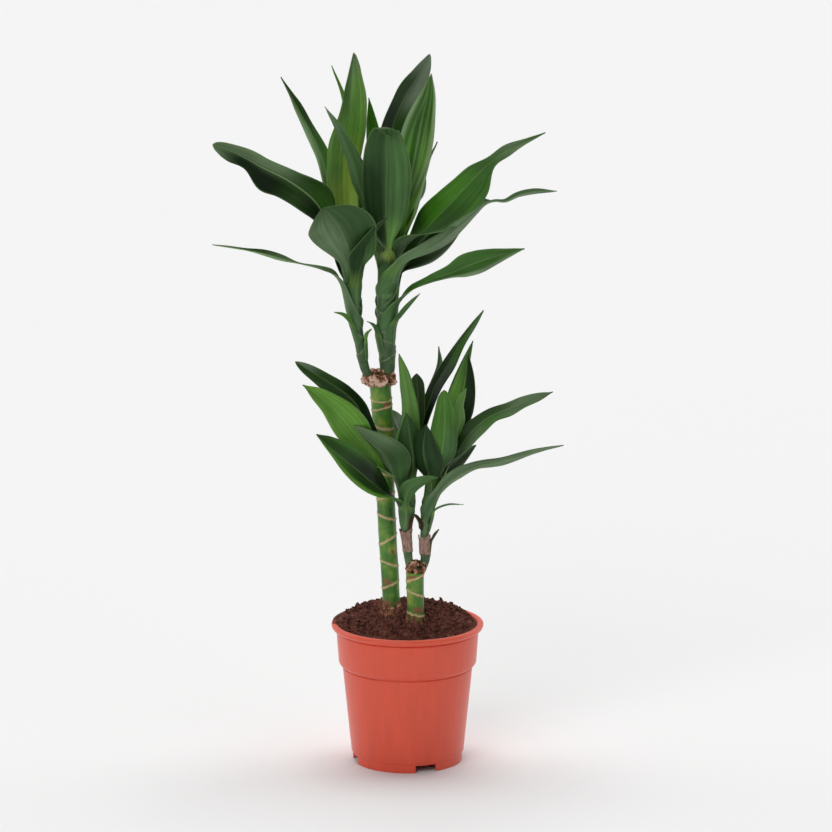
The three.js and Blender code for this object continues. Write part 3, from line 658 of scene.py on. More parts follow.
callus = {
    "lumpSize": 7,
    "lumpHeight": 0.22,
    "pitSize": 3.2,
    "pitDepth": 0.09,
    "size": 0.96,
    "paleness": (0.38, 0.5, 0.45),  # on the whole, and by its lumps and its pits
    "colours": [(0.3, "#24140f"), (0.4, "#4c5a22"), (0.5, "#66392a"), (0.7, "#a5745c"), (0.95, "#e4c2aa")],
    "gritSize": 2.2,
    "gritDepth": 0.7,
}

# Scars left by old leaves: height, tilt up to the high side, turn in degrees that it points to.
# Patches of torn brown bark: turn, height, width, how tall.
tallCane = {
    "node": "tall_cane",
    "path": [(-16, 6, 94), (-18, 5, 175), (-23.5, 5, 283), (-29, 5, 415), (-31.5, 5, 438)],
    "radii": [9, 9.8, 10, 11.8, 12.5],
    "scars": [(150, 2, 180), (176, 2, 20), (202.5, 4.4, 0), (227.5, 3.6, 180), (254, 5.8, 0),
              (279, 3.2, 180), (302, 4, 350), (325, 3, 200), (349, 4, 20), (374, 3, 160),
              (397.5, 4, 0), (412, 4, 90)],
    "patches": [(250, 206, 5, 5), (300, 241, 3, 3), (300, 402, 5, 5), (130, 262, 4, 6), (60, 330, 5, 4),
                (240, 180, 6, 5), (320, 178, 5, 4)],
    "head": {"centre": (-31.5, 4, 435.5), "reach": (20, 15, 10.5), "pale": 0.02},
    "roots": {"seed": 21, "count": 170, "topZ": 178},
}

shortCane = {
    "node": "short_cane",
    "path": [(9.5, -17, 96), (9.2, -17, 165), (8, -17, 220)],
    "radii": [9, 9.4, 9.8],
    "scars": [(142, 2, 0), (172, 2.5, 180), (196.5, 4.3, 180), (214, 4, 0)],
    "patches": [(250, 215, 6, 3), (330, 217, 5, 3), (100, 205, 5, 5), (290, 178, 7, 4)],
    "head": {"centre": (9.5, -16.5, 225), "reach": (12.5, 11.5, 9), "pale": -0.12},
    "roots": {"seed": 22, "count": 60, "topZ": 172},
}

roots = {
    "steps": 4,
    "topSpread": 3,
    "spread": (0.6, 1.4),
    "spreadStep": 0.7,  # a root leaves the cane by the square of this times its step
    "gap": 0.2,
    "rise": (-0.6, 0.7),  # of its low parts, over the soil
    "drop": (5, 9),
    "swerve": 0.3,
    "radius": (0.4, 1.1),
}


# Living cane: smooth waxy green bark with fine lengthwise fluting, tan leaf scars and torn brown flakes.
def caneBark():
    material, tree = newMaterial("green cane bark")
    place = addNode(tree, "TexCoord").outputs["Object"]
    lengthwise = addNode(tree, "Mapping", {}, {0: place, "Scale": (1, 1, 0.08)})
    flute = addNode(tree, "TexNoise", {}, {
        "Vector": lengthwise, "Scale": perMetre(bark["fluteSize"]), "Detail": 4})
    blotch = addNode(tree, "TexNoise", {}, {
        "Vector": place, "Scale": perMetre(bark["blotchSize"]), "Detail": 4})
    plain = addNode(tree, "ValToRGB", {}, (blotch,), [
        (0.35, bark["darkGreen"]), (0.52, bark["green"]), (0.68, bark["yellow"])])
    shade = addNode(tree, "MapRange", {}, {
        "Value": flute, "From Min": 0.3, "From Max": 0.7, "To Min": 0.88, "To Max": 1.1})
    green = addNode(tree, "VectorMath", {"operation": "SCALE"}, {0: plain, "Scale": shade})
    scar = addNode(tree, "Attribute", {"attribute_name": "scar"}).outputs["Fac"]
    torn = addNode(tree, "Attribute", {"attribute_name": "torn"}).outputs["Fac"]
    browned = addNode(tree, "Mix", {"data_type": "RGBA"}, {0: torn, 6: green, 7: linear(bark["brown"])})
    colour = addNode(tree, "Mix", {"data_type": "RGBA"}, {
        0: scar, 6: browned.outputs[2], 7: linear(bark["scar"])})
    dry = addNode(tree, "Math", {"operation": "MAXIMUM"}, (scar, torn))
    gloss = addNode(tree, "MapRange", {}, {"Value": dry, "To Min": 0.42, "To Max": 0.9})
    bump = addNode(tree, "Bump", {}, {
        "Strength": 0.5, "Distance": bark["fluteDepth"] * millimetre, "Height": flute})
    finishMaterial(tree, {"Base Color": colour.outputs[2], "Roughness": gloss, "Normal": bump})
    return material


# Corky callus: pinkish tan lumps, dry and matt, with green skin and dark pits in its hollows.
def callusCork():
    material, tree = newMaterial("callus cork")
    place = addNode(tree, "TexCoord").outputs["Object"]
    high = addNode(tree, "Attribute", {"attribute_name": "scar"}).outputs["Fac"]
    grit = addNode(tree, "TexNoise", {}, {
        "Vector": place, "Scale": perMetre(callus["gritSize"]), "Detail": 6, "Roughness": 0.75})
    height = addNode(tree, "Math", {"operation": "MULTIPLY_ADD"}, (grit, 0.5, high))
    colour = addNode(tree, "ValToRGB", {}, (height,), callus["colours"])
    bump = addNode(tree, "Bump", {}, {
        "Strength": 0.8, "Distance": callus["gritDepth"] * millimetre, "Height": grit})
    finishMaterial(tree, {"Base Color": colour, "Roughness": 0.85, "Normal": bump,
                          "Specular IOR Level": 0.25})
    return material


# Each pattern reads its noise at its own scale, shifted away from the others.
def makeCane(cane, material):
    bm = bmesh.new()
    scarLayer = bm.verts.layers.float.new("scar")
    tornLayer = bm.verts.layers.float.new("torn")
    low, high = cane["path"][0][2], cane["path"][-1][2]

    def pointAt(turn, share, vert):
        z = mix(low, high, share)
        middle, radius = placeOn(cane, z)
        spot = noisePlace(turn, z, bark["noiseRadius"], bark["noiseSqueeze"])
        scar = 0
        for scarZ, tilt, toward in cane["scars"]:
            if abs(z - scarZ) > tilt + bark["scarReach"]:
                continue
            wobble = bark["scarWobble"] * rough(spot * 1.3 + Vector((scarZ, 0, 0)), 4, 2)
            off = z - scarZ - tilt * math.cos(turn - math.radians(toward)) - wobble
            ragged = 1 + bark["scarRagged"] * rough(spot + Vector((0, scarZ, 0)), 5, 2)
            thick = bark["scarWidth"] * ragged
            scar = max(scar, math.exp(-(off / thick) ** 2))
        torn = 0
        for toward, patchZ, width, tall in cane["patches"]:
            side = (turn - math.radians(toward) + math.pi) % (2 * math.pi) - math.pi
            ragged = bark["tornRagged"] * rough(spot * 2, 3, 3)
            off = math.hypot(side * radius / width, (z - patchZ) / tall) + ragged
            torn = max(torn, 1 - smooth(off, *bark["tornEdge"]))
        fluteSpot = turned(bark["noiseRadius"], turn)
        fluteSpot.z = z / bark["fluteSqueeze"]
        flute = bark["fluting"] * rough(fluteSpot, 3, 2)
        lumps = bark["lumps"] * rough(spot + Vector((7, 0, 0)), 9, 2)
        radius += bark["scarHeight"] * scar + flute + lumps
        radius += bark["tornDepth"] * torn * (bark["tornRise"] + rough(spot * 3, 2, 2))
        vert[scarLayer] = scar
        vert[tornLayer] = torn
        return middle + turned(radius, turn)

    rollGrid(bm, bark["around"], round((high - low) / bark["rowLength"]), pointAt)
    finishPiece(bm, cane["node"] + "_bark", [material], [cane["node"]])


def makeCallus(cane, material):
    bm = bmesh.new()
    scarLayer = bm.verts.layers.float.new("scar")
    head = cane["head"]
    centre = Vector(head["centre"])
    elsewhere = Vector((31, 0, 0))  # so that the pits don't follow the lumps
    pale, lumpPale, pitPale = callus["paleness"]
    bmesh.ops.create_icosphere(bm, subdivisions=6, radius=1)
    for vert in bm.verts:
        way = vert.co.copy()
        place = Vector([c * r for c, r in zip(way, head["reach"])]) + centre
        lumps = rough(place, callus["lumpSize"], 2)
        pits = rough(place + elsewhere, callus["pitSize"], 4)
        size = callus["size"] + callus["lumpHeight"] * lumps + callus["pitDepth"] * pits
        vert.co = Vector([c * r * size for c, r in zip(way, head["reach"])]) + centre
        vert[scarLayer] = min(1, max(0, pale + head["pale"] + lumpPale * lumps + pitPale * pits))
    finishPiece(bm, cane["node"] + "_callus", [material], [cane["node"]])


# Roots that run down from the foot of a cane into the soil.
def makeRoots(cane, material):
    rng = random.Random(cane["roots"]["seed"])
    bm = bmesh.new()
    for _ in range(cane["roots"]["count"]):
        turn = rng.uniform(0, 2 * math.pi)
        z = cane["roots"]["topZ"] + rng.gauss(0, roots["topSpread"])
        points = []
        spread = rng.uniform(*roots["spread"])
        for step in range(roots["steps"]):
            middle, radius = placeOn(cane, z)
            out = radius + roots["gap"] + spread * (step * roots["spreadStep"]) ** 2
            point = middle + turned(out, turn)
            point.z = max(z, heapZ(point.x, point.y) + rng.uniform(*roots["rise"]))
            points.append(point)
            z -= rng.uniform(*roots["drop"])
            turn += rng.gauss(0, roots["swerve"])
        addFibre(bm, points, rng.uniform(*roots["radius"]))
    finishPiece(bm, cane["node"] + "_roots", [material], [cane["node"]])


barkMaterial = caneBark()
corkMaterial = callusCork()
rootMaterial = coirFibre()
for cane in (tallCane, shortCane):
    makeCane(cane, barkMaterial)
    makeCallus(cane, corkMaterial)
for cane in (tallCane, shortCane):
    makeRoots(cane, rootMaterial)

print("leafy stems")

blade = {
    "thickness": 0.6,
    "sheathThickness": 1.6,
    "thinShare": (0, 0.25),  # shares of the free length between which the sheath thins to the blade
    "rootThin": 0.2,  # thickness at the foot of the sheath, as a share
    "rootLength": 22,  # the clasping sheath
    "sheathGap": 0.25,
    "sheathSpread": 0.07,
    "sheathFoot": (-1.1, 0.3),  # sunk in the stem, and out of it by this share of its length
    "claspFold": (335, 150),  # degrees round the stem, at the foot of the sheath and where it lets go
    "claspWidth": 14,  # narrower leaves have no sheath
    "letGo": 0.12,
    "rootWidth": 1.3,
    "rootFold": 90,
    "neckWidth": 0.42,
    "neckNarrowest": 0.8,  # of the width of the root
    "neckPlace": 0.14,
    "peak": 0.5,
    "taper": 1.8,
    "tipWidth": 0.6,
    "tipPlace": 0.93,  # where the tip starts to round off
    "halvesFrom": 0.1,  # where listed half widths hold in full
    "stripBlend": (0.35, 0.65),
    "fold": 40,
    "foldFrom": 0.4,
    "vee": (8, 8),  # degrees that each half is tilted up from the midrib
    "veeFrom": 0.3,
    "roll": (0, 0),  # degrees that the blade is turned about its midrib, at its middle and tip
    "wave": 1,  # height in mm
    "waveShare": (0.1, 0.35, 0.8, 1),  # where the wave fades in and out
    "waveLength": 62,
    "waveLag": 2,
    "ripple": 0.7,
    "rippleLength": 30,
    "rippleAcross": 1.5,
    "reliefShare": (0.05, 0.3),  # where the crease and the ripple fade in
    "rib": 0.3,  # how pale the midrib is: its own paler colour, and on some leaves a painted highlight along it
    "ribTip": 0.4,
    "crease": 0.9,
    "creaseWidth": 2.4,
    "across": 14,
    "acrossBend": 1.25,  # over 1, it puts more of the rows of corners near the midrib
    "rowLength": 2.6,
    "sheathTone": (-0.02, 0.06),  # shares of the free length over which each tone gives way to the next
    "youngTone": (0.06, 0.28),
    "youngShare": 0.45,
}

# Grain of a leaf, as veins, bands and blots: size across and along it in mm, detail, and the shares by which
# each darkens and lightens the green. The veins of the underside are stronger.
upperGrain = [(0.8, 90, 2, 0.9, 1.1), (5, 160, 3, 0.78, 1.28), (22, 45, 2, 0.82, 1.18)]
underGrain = [(0.8, 90, 2, 0.86, 1.14), *upperGrain[1:]]

# upper side and underside of each tone. Most are the leaf's own greens, by its age and place on the plant;
# deep is partly its own dark green and partly painted shade, shade is painted shade, silver and pale are
# painted sheen, and grey is partly the matt underside and partly painted sheen
tones = {
    "deep": ("#0f2409", "#243d1f"),
    "dark": ("#284618", "#33502a"),
    "shade": ("#36492c", "#405636"),
    "mid": ("#3c6626", "#446638"),
    "bright": ("#447f1a", "#4a772e"),
    "light": ("#5e8e33", "#5f8842"),
    "yellow": ("#8cac44", "#8aa452"),
    "grey": ("#5c744f", "#5c7452"),
    "silver": ("#6d7d66", "#6f8068"),
    "pale": ("#8aa878", "#8aa67a"),
    "dry": ("#3a2218", "#4a2d22"),
    "sheath": ("#3f5c33", "#4a6b44"),
    "base": ("#5f8030", "#6b8a44"),
}

# Each shoot: its stem, old sheath edges (height, tilt, turn in degrees of the high side) and its leaves.
# For each leaf, at is the height of its sheath's foot, and way is the route of its midrib from there on.
# Halves are the half widths on the two sides of the midrib at even steps, one list where they are alike.
# Tone is one word, or a strip of tones from neck to tip for each part of its width, from edge to edge.
# Strips that differ across a blade paint the light and the shade on the two sides of its fold, and silver,
# pale and grey in them paint sheen.
tallLeft = {
    "node": "tall_cane_left_shoot",
    "path": [(-41, 1, 433), (-47, 0.5, 448), (-52, 0, 474), (-58, 0, 513), (-60, 0, 540), (-61, 2, 565),
             (-62, 4, 600)],
    "radii": [5, 5.8, 6, 6.5, 7, 6, 3],
    "edges": [(468, 4, 0), (486, 4, 190), (503, 5, 20), (520, 4, 200)],
    "leaves": [
        # long waved leaf to the far left; its strongly pale midrib is a painted highlight
        dict(at=535, width=40, rib=0.95, vee=(12, 12), roll=(-108, -95), wave=2.5,
             tone=("dark dark mid dark grey grey grey", "deep deep deep dark deep deep grey"),
             halves=((6, 7, 9, 14, 22, 19, 14, 12, 12, 8, 6), (6, 8, 12, 18, 21, 21, 23, 24, 12, 13, 7)),
             way=[(-84, -12, 598), (-97, -20, 633), (-127, -26, 660), (-158, -30, 677), (-186, -34, 693),
                  (-211, -36, 703)]),
        # upright leaf that leans left
        dict(at=560, width=22, vee=(24, 24), roll=(-45, -30),
             tone=("dark mid mid dark dark", "mid grey pale pale grey"),
             halves=((6, 8, 10, 11, 11, 11, 9, 7, 6, 2.5, 1), (6, 8, 10, 10, 8, 7, 8, 8, 6, 3, 1)),
             way=[(-77, 12, 603), (-86, 26, 643), (-96, 38, 680), (-108, 46, 706), (-119, 50, 726),
                  (-128, 54, 744), (-139, 56, 764)]),
        # tallest leaf; the yellow of its lower part is its own young green, brightened as painted light
        # shining through it
        dict(at=570, width=40, rib=0.1, sheenStripes=0.25, roll=(0, 10),
             tone=("yellow yellow yellow light light grey", "yellow yellow light light mid grey"),
             halves=((7, 14, 17, 17, 18, 20, 22, 20, 16, 10, 4),
                     (7, 18, 27, 27, 27, 26, 20, 15, 11, 7, 3)),
             way=[(-69, 16, 617), (-71, 20, 644), (-69, 25, 687), (-63, 28, 737), (-58, 30, 794)]),
        # narrow leaf behind the tallest
        dict(at=562, tone="light", width=12, roll=(20, 40),
             way=[(-63, 40, 640), (-61, 52, 683), (-68, 64, 732), (-83, 68, 775)]),
        # broad leaf that arches to the front
        dict(at=522, width=58, vee=(0, 0, -4, -8, -10), fold=10,
             tone=("mid grey grey grey shade", "mid mid dark dark dark"),
             halves=((8, 9, 12, 18, 24, 30, 35, 36, 33, 23, 8),
                     (8, 9, 16, 24, 30, 34, 38, 42, 42, 34, 14)),
             way=[(-62, -22, 571), (-64, -33, 587), (-69, -43, 603), (-75, -53, 617), (-83, -62, 629),
                  (-91, -68, 639)]),
        # small leaf behind it
        dict(at=508, tone="deep", width=17, wave=0.5,
             way=[(-68, 16, 551), (-77, 26, 568), (-81, 32, 577)]),
        # long low leaf to the left
        dict(at=490, width=16, roll=(-60, -20), wave=0.5,
             tone=("grey grey grey dark grey", "grey grey pale pale grey"),
             halves=((6, 6, 6, 4, 2, 1.2, 4, 4.5, 3, 1.8, 0.8), (8, 8, 7, 4, 1.5, 1.2, 5, 5, 3, 1.8, 0.8)),
             way=[(-77, -16, 553), (-93, -28, 565), (-121, -40, 574), (-157, -50, 586), (-186, -57, 593),
                  (-211, -62, 598)]),
        # leaf stub on the left
        dict(at=474, tone="bright", width=11, wave=0, way=[(-70, -18, 511), (-80, -22, 516)]),
        # leaf that crosses in front to the right, its deep green a painted shade inside the plant
        dict(at=516, tone="deep", width=40, roll=(30, 40),
             way=[(-50, -24, 572), (-43, -37, 594), (-33, -50, 612), (-22, -60, 627)]),
        # leaf stub between the two shoots
        dict(at=456, tone="light", width=9, wave=0, way=[(-44, -4, 488), (-40, -8, 494)]),
        # leaves at the back
        dict(at=548, tone="dark", width=36, roll=(0, 10), wave=2,
             way=[(-61, 30, 614), (-64, 58, 637), (-67, 90, 653), (-72, 122, 655), (-77, 146, 644)]),
        dict(at=530, tone="dark", width=26, roll=(10, 20), wave=2,
             way=[(-98, 18, 620), (-118, 34, 635), (-141, 56, 645), (-158, 74, 648)]),
        dict(at=502, tone="dark", width=32, roll=(10, 10), wave=2,
             way=[(-69, 24, 561), (-77, 50, 582), (-86, 84, 597), (-96, 112, 602)]),
    ],
}

tallRight = {
    "node": "tall_cane_right_shoot",
    "path": [(-23, 6, 433), (-22, 6, 450), (-23, 6, 475), (-24, 6, 512), (-23, 7, 540), (-20, 8, 565),
             (-17, 9, 604)],
    "radii": [7.5, 9, 10, 10.5, 10, 8, 4],
    "edges": [(462, 5, 30), (477, 5, 200), (493, 6, 10), (510, 5, 170)],
    "leaves": [
        # dark leaf that leans over to the left
        dict(at=560, width=24, roll=(10, 20),
             tone=("bright mid mid mid grey", "bright bright mid mid grey"),
             halves=((8, 9, 9, 10, 11.5, 12, 11, 10, 6, 3.5, 1), (8, 9, 9, 10, 11, 12, 12, 10, 7, 3.5, 1)),
             way=[(-34, -8, 598), (-43, -14, 627), (-52, -20, 656), (-61, -24, 686), (-74, -25, 717),
                  (-89, -24, 743)]),
        # front leaf whose tip curls over
        dict(at=545, sheath="deep", width=54, vee=(0, 0, 0, -14, -20), fold=10, wave=0.3,
             tone=("yellow deep deep deep dark dark", "yellow light mid mid mid dark"),
             halves=((4, 3, 9, 17, 23, 26, 27, 26, 23, 17, 9), (4, 3, 9, 18, 24, 26, 27, 26, 22, 16, 9)),
             way=[(-22, -26, 598), (-23, -40, 637), (-22, -50, 677), (-22, -57, 704), (-21, -64, 723),
                  (-20, -72, 728), (-18, -79, 719)]),
        # tall dark leaf, the silver at its tip a painted sheen
        dict(at=572, width=30, roll=(10, 20),
             tone=("deep deep deep dark silver silver", "deep deep deep deep dark silver"),
             halves=((7, 10, 13, 14, 14, 14, 15, 15, 14, 10, 4),
                     (7, 10, 13, 15, 15, 15, 15, 15, 16, 12, 4)),
             way=[(-19, 28, 614), (-24, 33, 658), (-17, 40, 707), (-4, 46, 739), (13, 52, 765),
                  (25, 56, 789)]),
        # tall leaf with pale stripes of painted sheen
        dict(at=565, width=42, taper=2.1, sheenStripes=0.3, roll=(60, 70),
             tone=("dark dark pale pale pale silver", "dark mid light mid mid", "dark mid mid mid mid",
                   "dark mid bright mid mid", "dark mid mid pale pale grey"),
             way=[(-4, 10, 622), (6, 14, 670), (15, 18, 716), (23, 20, 750), (26, 22, 772)]),
        # narrow pale leaf to the right
        dict(at=552, width=18, roll=(20, 30), wave=0.5,
             tone=("mid light pale pale mid", "mid light light light mid"),
             halves=((6, 8, 9, 9, 8, 6.5, 4.5, 2.5, 1.5, 1, 0.6),),
             way=[(-3, 20, 597), (6, 34, 621), (14, 46, 642), (21, 58, 662), (26, 68, 675), (33, 78, 689)]),
        # big leaf to the upper right
        dict(at=545, width=44, roll=(104, 84),
             tone=("dark dark dark mid mid grey grey", "dark mid bright bright mid grey mid"),
             halves=((6, 22, 36, 38, 35, 31, 24, 7, 6.5, 4, 1), (4, 14, 22, 22, 18, 15, 13.5, 7, 7, 3, 1)),
             way=[(-3, -6, 585), (19, -11, 606), (41, -14, 629), (63, -17, 653), (87, -19, 677),
                  (117, -20, 698), (150, -20, 714)]),
        # leaf below it, underside showing
        dict(at=524, width=18, roll=(-40, -30), wave=0.3,
             tone=("light grey grey grey mid grey", "mid mid silver silver silver grey"),
             halves=((10, 8, 9, 10, 9, 6, 2.5, 1.5, 3, 3.5, 1),),
             way=[(-5, -18, 570), (19, -28, 584), (39, -38, 598), (57, -42, 614), (73, -44, 629),
                  (85, -46, 640), (95, -46, 643), (106, -48, 643), (120, -50, 650), (138, -52, 654),
                  (162, -54, 655)]),
        # leaf in its shade
        dict(at=512, width=34, roll=(30, 20),
             tone=("grey silver silver grey", "dark shade grey shade", "deep dark shade deep",
                   "deep deep dark deep"),
             way=[(-10, 20, 552), (6, 28, 562), (27, 36, 575), (47, 44, 588), (64, 50, 601)]),
        # lowest long leaf on the right
        dict(at=486, width=27, roll=(85, 70), wave=0.5,
             tone=("mid grey grey pale silver grey", "mid mid mid mid mid", "mid mid mid mid mid",
                   "mid mid mid mid grey"),
             halves=((8, 8, 7, 5, 5, 6, 12, 14, 11, 7, 1), (6, 6, 6.5, 5, 6, 9, 14, 13, 9, 4, 1)),
             way=[(-10, -2, 521), (5, -8, 538), (25, -14, 550), (47, -19, 558), (69, -23, 568),
                  (90, -26, 576), (112, -27, 583), (128, -28, 587)]),
        # leaf stubs
        dict(at=474, tone="mid", width=13, wave=0, way=[(-6, -10, 510), (2, -15, 521), (13, -19, 536)]),
        dict(at=462, tone="mid", width=9, wave=0, way=[(-37, -4, 496), (-44, -8, 503)]),
        # light leaf behind
        dict(at=566, tone="bright", width=24,
             way=[(-28, 34, 616), (-34, 46, 660), (-39, 56, 702), (-42, 62, 740)]),
        # leaves at the back
        dict(at=540, tone="dark", width=34, roll=(0, -10), wave=2,
             way=[(-6, 34, 608), (3, 60, 626), (9, 90, 636), (10, 118, 636), (8, 142, 626)]),
        dict(at=526, tone="dark", width=36, roll=(10, 20), wave=2,
             way=[(4, 26, 574), (32, 48, 602), (64, 72, 618), (96, 96, 620)]),
        dict(at=534, tone="dark", width=34, roll=(-10, -10), wave=2,
             way=[(-36, 32, 580), (-48, 60, 612), (-58, 92, 628), (-66, 124, 624)]),
        dict(at=500, tone="dark", width=34, wave=2,
             way=[(-3, 24, 562), (20, 46, 574), (40, 72, 582), (56, 98, 588)]),
    ],
}

shortLeft = {
    "node": "short_cane_left_shoot",
    "path": [(5, -16, 216), (1.5, -15, 233), (0, -15, 250), (-2, -15, 268), (-1, -15, 286), (1, -14, 324),
             (3, -12, 350), (5, -10, 378)],
    "radii": [4, 5, 5, 5.8, 6.5, 6.8, 5, 3],
    "edges": [(246, 3, 20), (262, 3, 190), (280, 4, 10), (298, 4, 180)],
    "drySheath": (244, 268, 120, 400),  # from and to in height, and from and to in degrees round the stem
    "leaves": [
        # dark leaf to the upper left, at the back
        dict(at=305, width=19, roll=(-100, -85),
             tone=("dark deep deep deep dark silver", "dark mid dark dark dark dark"),
             halves=((5, 5, 6, 8, 9, 10, 9, 9, 8, 6, 3), (8, 6, 6, 8, 9, 9, 11, 13, 12, 9, 5)),
             way=[(-28, -32, 357), (-45, -40, 392), (-56, -44, 416), (-68, -46, 429), (-93, -50, 447),
                  (-122, -52, 466)]),
        # broad waved leaf
        dict(at=296, width=38, roll=(-105, -90), wave=2,
             tone=("light light light light light", "yellow light light light light"),
             halves=((5, 6, 8, 12, 15, 19, 21, 19, 14, 8, 1), (9, 8, 8, 11, 14, 16, 18, 16, 12, 8, 1)),
             way=[(-24, -38, 341), (-39, -48, 361), (-57, -58, 385), (-76, -68, 411), (-95, -76, 431),
                  (-113, -82, 446)]),
        # lowest leaf on the left
        dict(at=272, width=38, roll=(-85, -70),
             tone=("dark deep dark mid dark", "dark deep deep dark dark", "dark dark dark mid mid",
                   "mid bright light light light"),
             halves=((6, 8, 11, 16, 19, 20, 19, 19, 16, 10, 1.5),
                     (7, 8, 11, 15, 18, 19, 18, 15, 11, 7, 1.5)),
             way=[(-19, -40, 313), (-36, -56, 329), (-52, -68, 346), (-71, -80, 365), (-85, -86, 379),
                  (-98, -90, 393)]),
        # leaf that arches to the front
        dict(at=282, width=38, wave=0.5, tone=("grey grey grey grey silver", "grey mid dark grey grey"),
             halves=((6, 6, 6, 7, 10, 12, 11, 8, 7, 4, 1.5), (8, 8, 10, 16, 22, 26, 26, 22, 17, 9, 2)),
             way=[(-9, -30, 322), (-16, -40, 339), (-22, -48, 356), (-32, -54, 369), (-45, -58, 382),
                  (-58, -60, 397)]),
        # leaf that curves across to the right
        dict(at=268, tone="mid", width=20, wave=0.5,
             way=[(-2, -36, 307), (2, -44, 321), (12, -50, 329), (24, -54, 335), (34, -57, 338)]),
        # bright upright leaf
        dict(at=322, tone="light", width=22, roll=(-20, -10),
             halves=((6, 8, 10, 10, 10, 9, 8, 7, 5, 3, 1), (6, 8, 10, 12, 12, 12, 11, 9, 7, 4, 1)),
             way=[(2, -26, 369), (1, -28, 404), (-3, -28, 438), (-9, -28, 470)]),
        # dark leaf tip behind it
        dict(at=330, tone="shade", width=18, wave=0.5, halves=((5, 6, 7, 8, 9, 9, 9, 9, 9, 8, 3),),
             way=[(8, 6, 372), (12, 12, 400), (10, 18, 438)]),
        # narrow leaf
        dict(at=300, tone="dark", width=30, way=[(6, -34, 348), (3, -42, 376), (-1, -48, 408)]),
        # long leaf to the upper right
        dict(at=330, width=16, roll=(50, 60),
             tone=("dark deep deep mid grey", "dark dark deep dark mid"),
             halves=((6, 7, 7, 7, 7.5, 8, 8, 6.5, 5, 3, 1),),
             way=[(16, 8, 382), (31, 18, 424), (47, 25, 450), (64, 30, 478), (85, 34, 506)]),
        # small leaf behind it
        dict(at=320, width=14, roll=(20, 20), wave=0.5, tone=("dark dark silver", "dark dark grey"),
             way=[(12, 16, 372), (26, 30, 410), (36, 42, 442), (35, 46, 463)]),
        # short bright leaf in the heart
        dict(at=312, tone="bright", width=18, wave=0.5,
             way=[(-6, -26, 356), (-7, -32, 378), (0, -38, 394)]),
        # leaves at the back
        dict(at=302, tone="dark", width=34, wave=2,
             way=[(-4, 22, 337), (-6, 52, 355), (-15, 84, 373), (-22, 110, 379)]),
        dict(at=276, tone="dark", width=33, roll=(20, 20), wave=2,
             way=[(0, 12, 318), (-6, 42, 342), (-20, 74, 358), (-38, 104, 362)]),
        dict(at=316, tone="dark", width=28, wave=1.5,
             way=[(2, 12, 356), (6, 40, 376), (9, 72, 391), (12, 100, 396)]),
        # dry leaf that hangs from the stem
        dict(at=262, tone="dry", width=9, roll=(0, 60), wave=0,
             way=[(8, -22, 286), (13, -23, 279), (16, -21, 268)]),
    ],
}

shortRight = {
    "node": "short_cane_right_shoot",
    "path": [(14, -16, 216), (19.5, -15, 233), (19, -15, 250), (19, -15, 268), (21, -15, 286),
             (24, -15, 302), (31, -15, 326), (36, -14, 364)],
    "radii": [4, 5.5, 5.5, 5, 6, 6.5, 6, 3],
    "edges": [(246, 3, 170), (260, 3, 10), (276, 4, 200), (292, 4, 20)],
    "drySheath": (241, 261, 150, 420),
    "leaves": [
        # broad dark leaf with a pale midrib
        dict(at=318, width=34, rib=0.7, roll=(50, 60),
             tone=("deep deep deep deep", "light grey light mid"),
             way=[(48, -6, 366), (56, -3, 396), (63, 0, 430), (67, 4, 464)]),
        # broad bright leaf in front
        dict(at=300, width=32, wave=1.5,
             tone=("mid mid bright bright bright", "mid dark mid bright bright"),
             halves=((5, 4, 7, 13, 15, 16, 16, 14, 11, 8, 4), (5, 4, 8, 15, 17, 17, 15, 13, 11, 8, 4)),
             way=[(34, -40, 345), (39, -50, 372), (41, -56, 402), (40, -60, 436)]),
        # small light leaf
        dict(at=308, tone="light", width=17, roll=(-20, -20), wave=0.5,
             halves=((4, 4, 5, 7, 8, 9, 9, 8.5, 7, 5, 1),),
             way=[(49, -28, 373), (57, -33, 392), (57, -36, 411), (60, -38, 423), (64, -40, 434)]),
        # long leaf to the right
        dict(at=296, width=22, roll=(75, 65),
             tone=("yellow mid grey mid grey grey", "yellow dark dark dark grey grey"),
             halves=((6, 7, 9, 12, 12, 11, 8, 9, 6, 5, 1), (5, 6, 8, 10, 11, 10, 9, 7, 7, 5, 1)),
             way=[(48, -16, 349), (60, -20, 366), (75, -23, 385), (92, -26, 399), (116, -28, 410),
                  (138, -28, 419), (160, -28, 427)]),
        # lowest long leaf, underside showing
        dict(at=280, width=17, roll=(-40, -20), wave=0.5,
             tone=("grey grey grey grey silver", "grey grey grey grey grey"),
             halves=((8, 8, 10, 10, 7, 5, 4, 4, 3.5, 2.5, 1), (8, 12, 12, 8, 5, 8, 11, 10, 5, 2.5, 1)),
             way=[(37, -28, 316), (52, -38, 332), (74, -46, 346), (102, -53, 355), (134, -58, 365),
                  (171, -60, 375)]),
        # grey leaf under the long one
        dict(at=288, tone="silver", width=20, roll=(40, 40), wave=0.5,
             way=[(40, -4, 328), (56, 0, 344), (76, 4, 360)]),
        # thin leaf low on the right
        dict(at=262, tone="mid", width=7, wave=0, way=[(30, -18, 291), (44, -21, 298), (62, -24, 300)]),
        # dark leaf in the heart
        dict(at=296, tone="deep", width=40, way=[(24, -38, 336), (18, -48, 366), (21, -54, 396)]),
        # thin leaf tip behind the long leaf
        dict(at=326, tone="mid", width=18, roll=(30, 40), wave=0.5,
             way=[(42, 8, 372), (54, 26, 418), (73, 38, 471)]),
        # leaves at the back
        dict(at=304, tone="dark", width=33, roll=(0, 10), wave=2,
             way=[(46, 16, 329), (53, 44, 351), (60, 74, 373), (62, 102, 382)]),
        dict(at=310, tone="dark", width=26, roll=(20, 20), wave=2,
             way=[(62, 10, 368), (81, 30, 377), (98, 50, 384), (112, 66, 388)]),
        # dry stub
        dict(at=232, tone="dry", width=7, wave=0, way=[(28, -13, 258), (34, -11, 268)]),
    ],
}

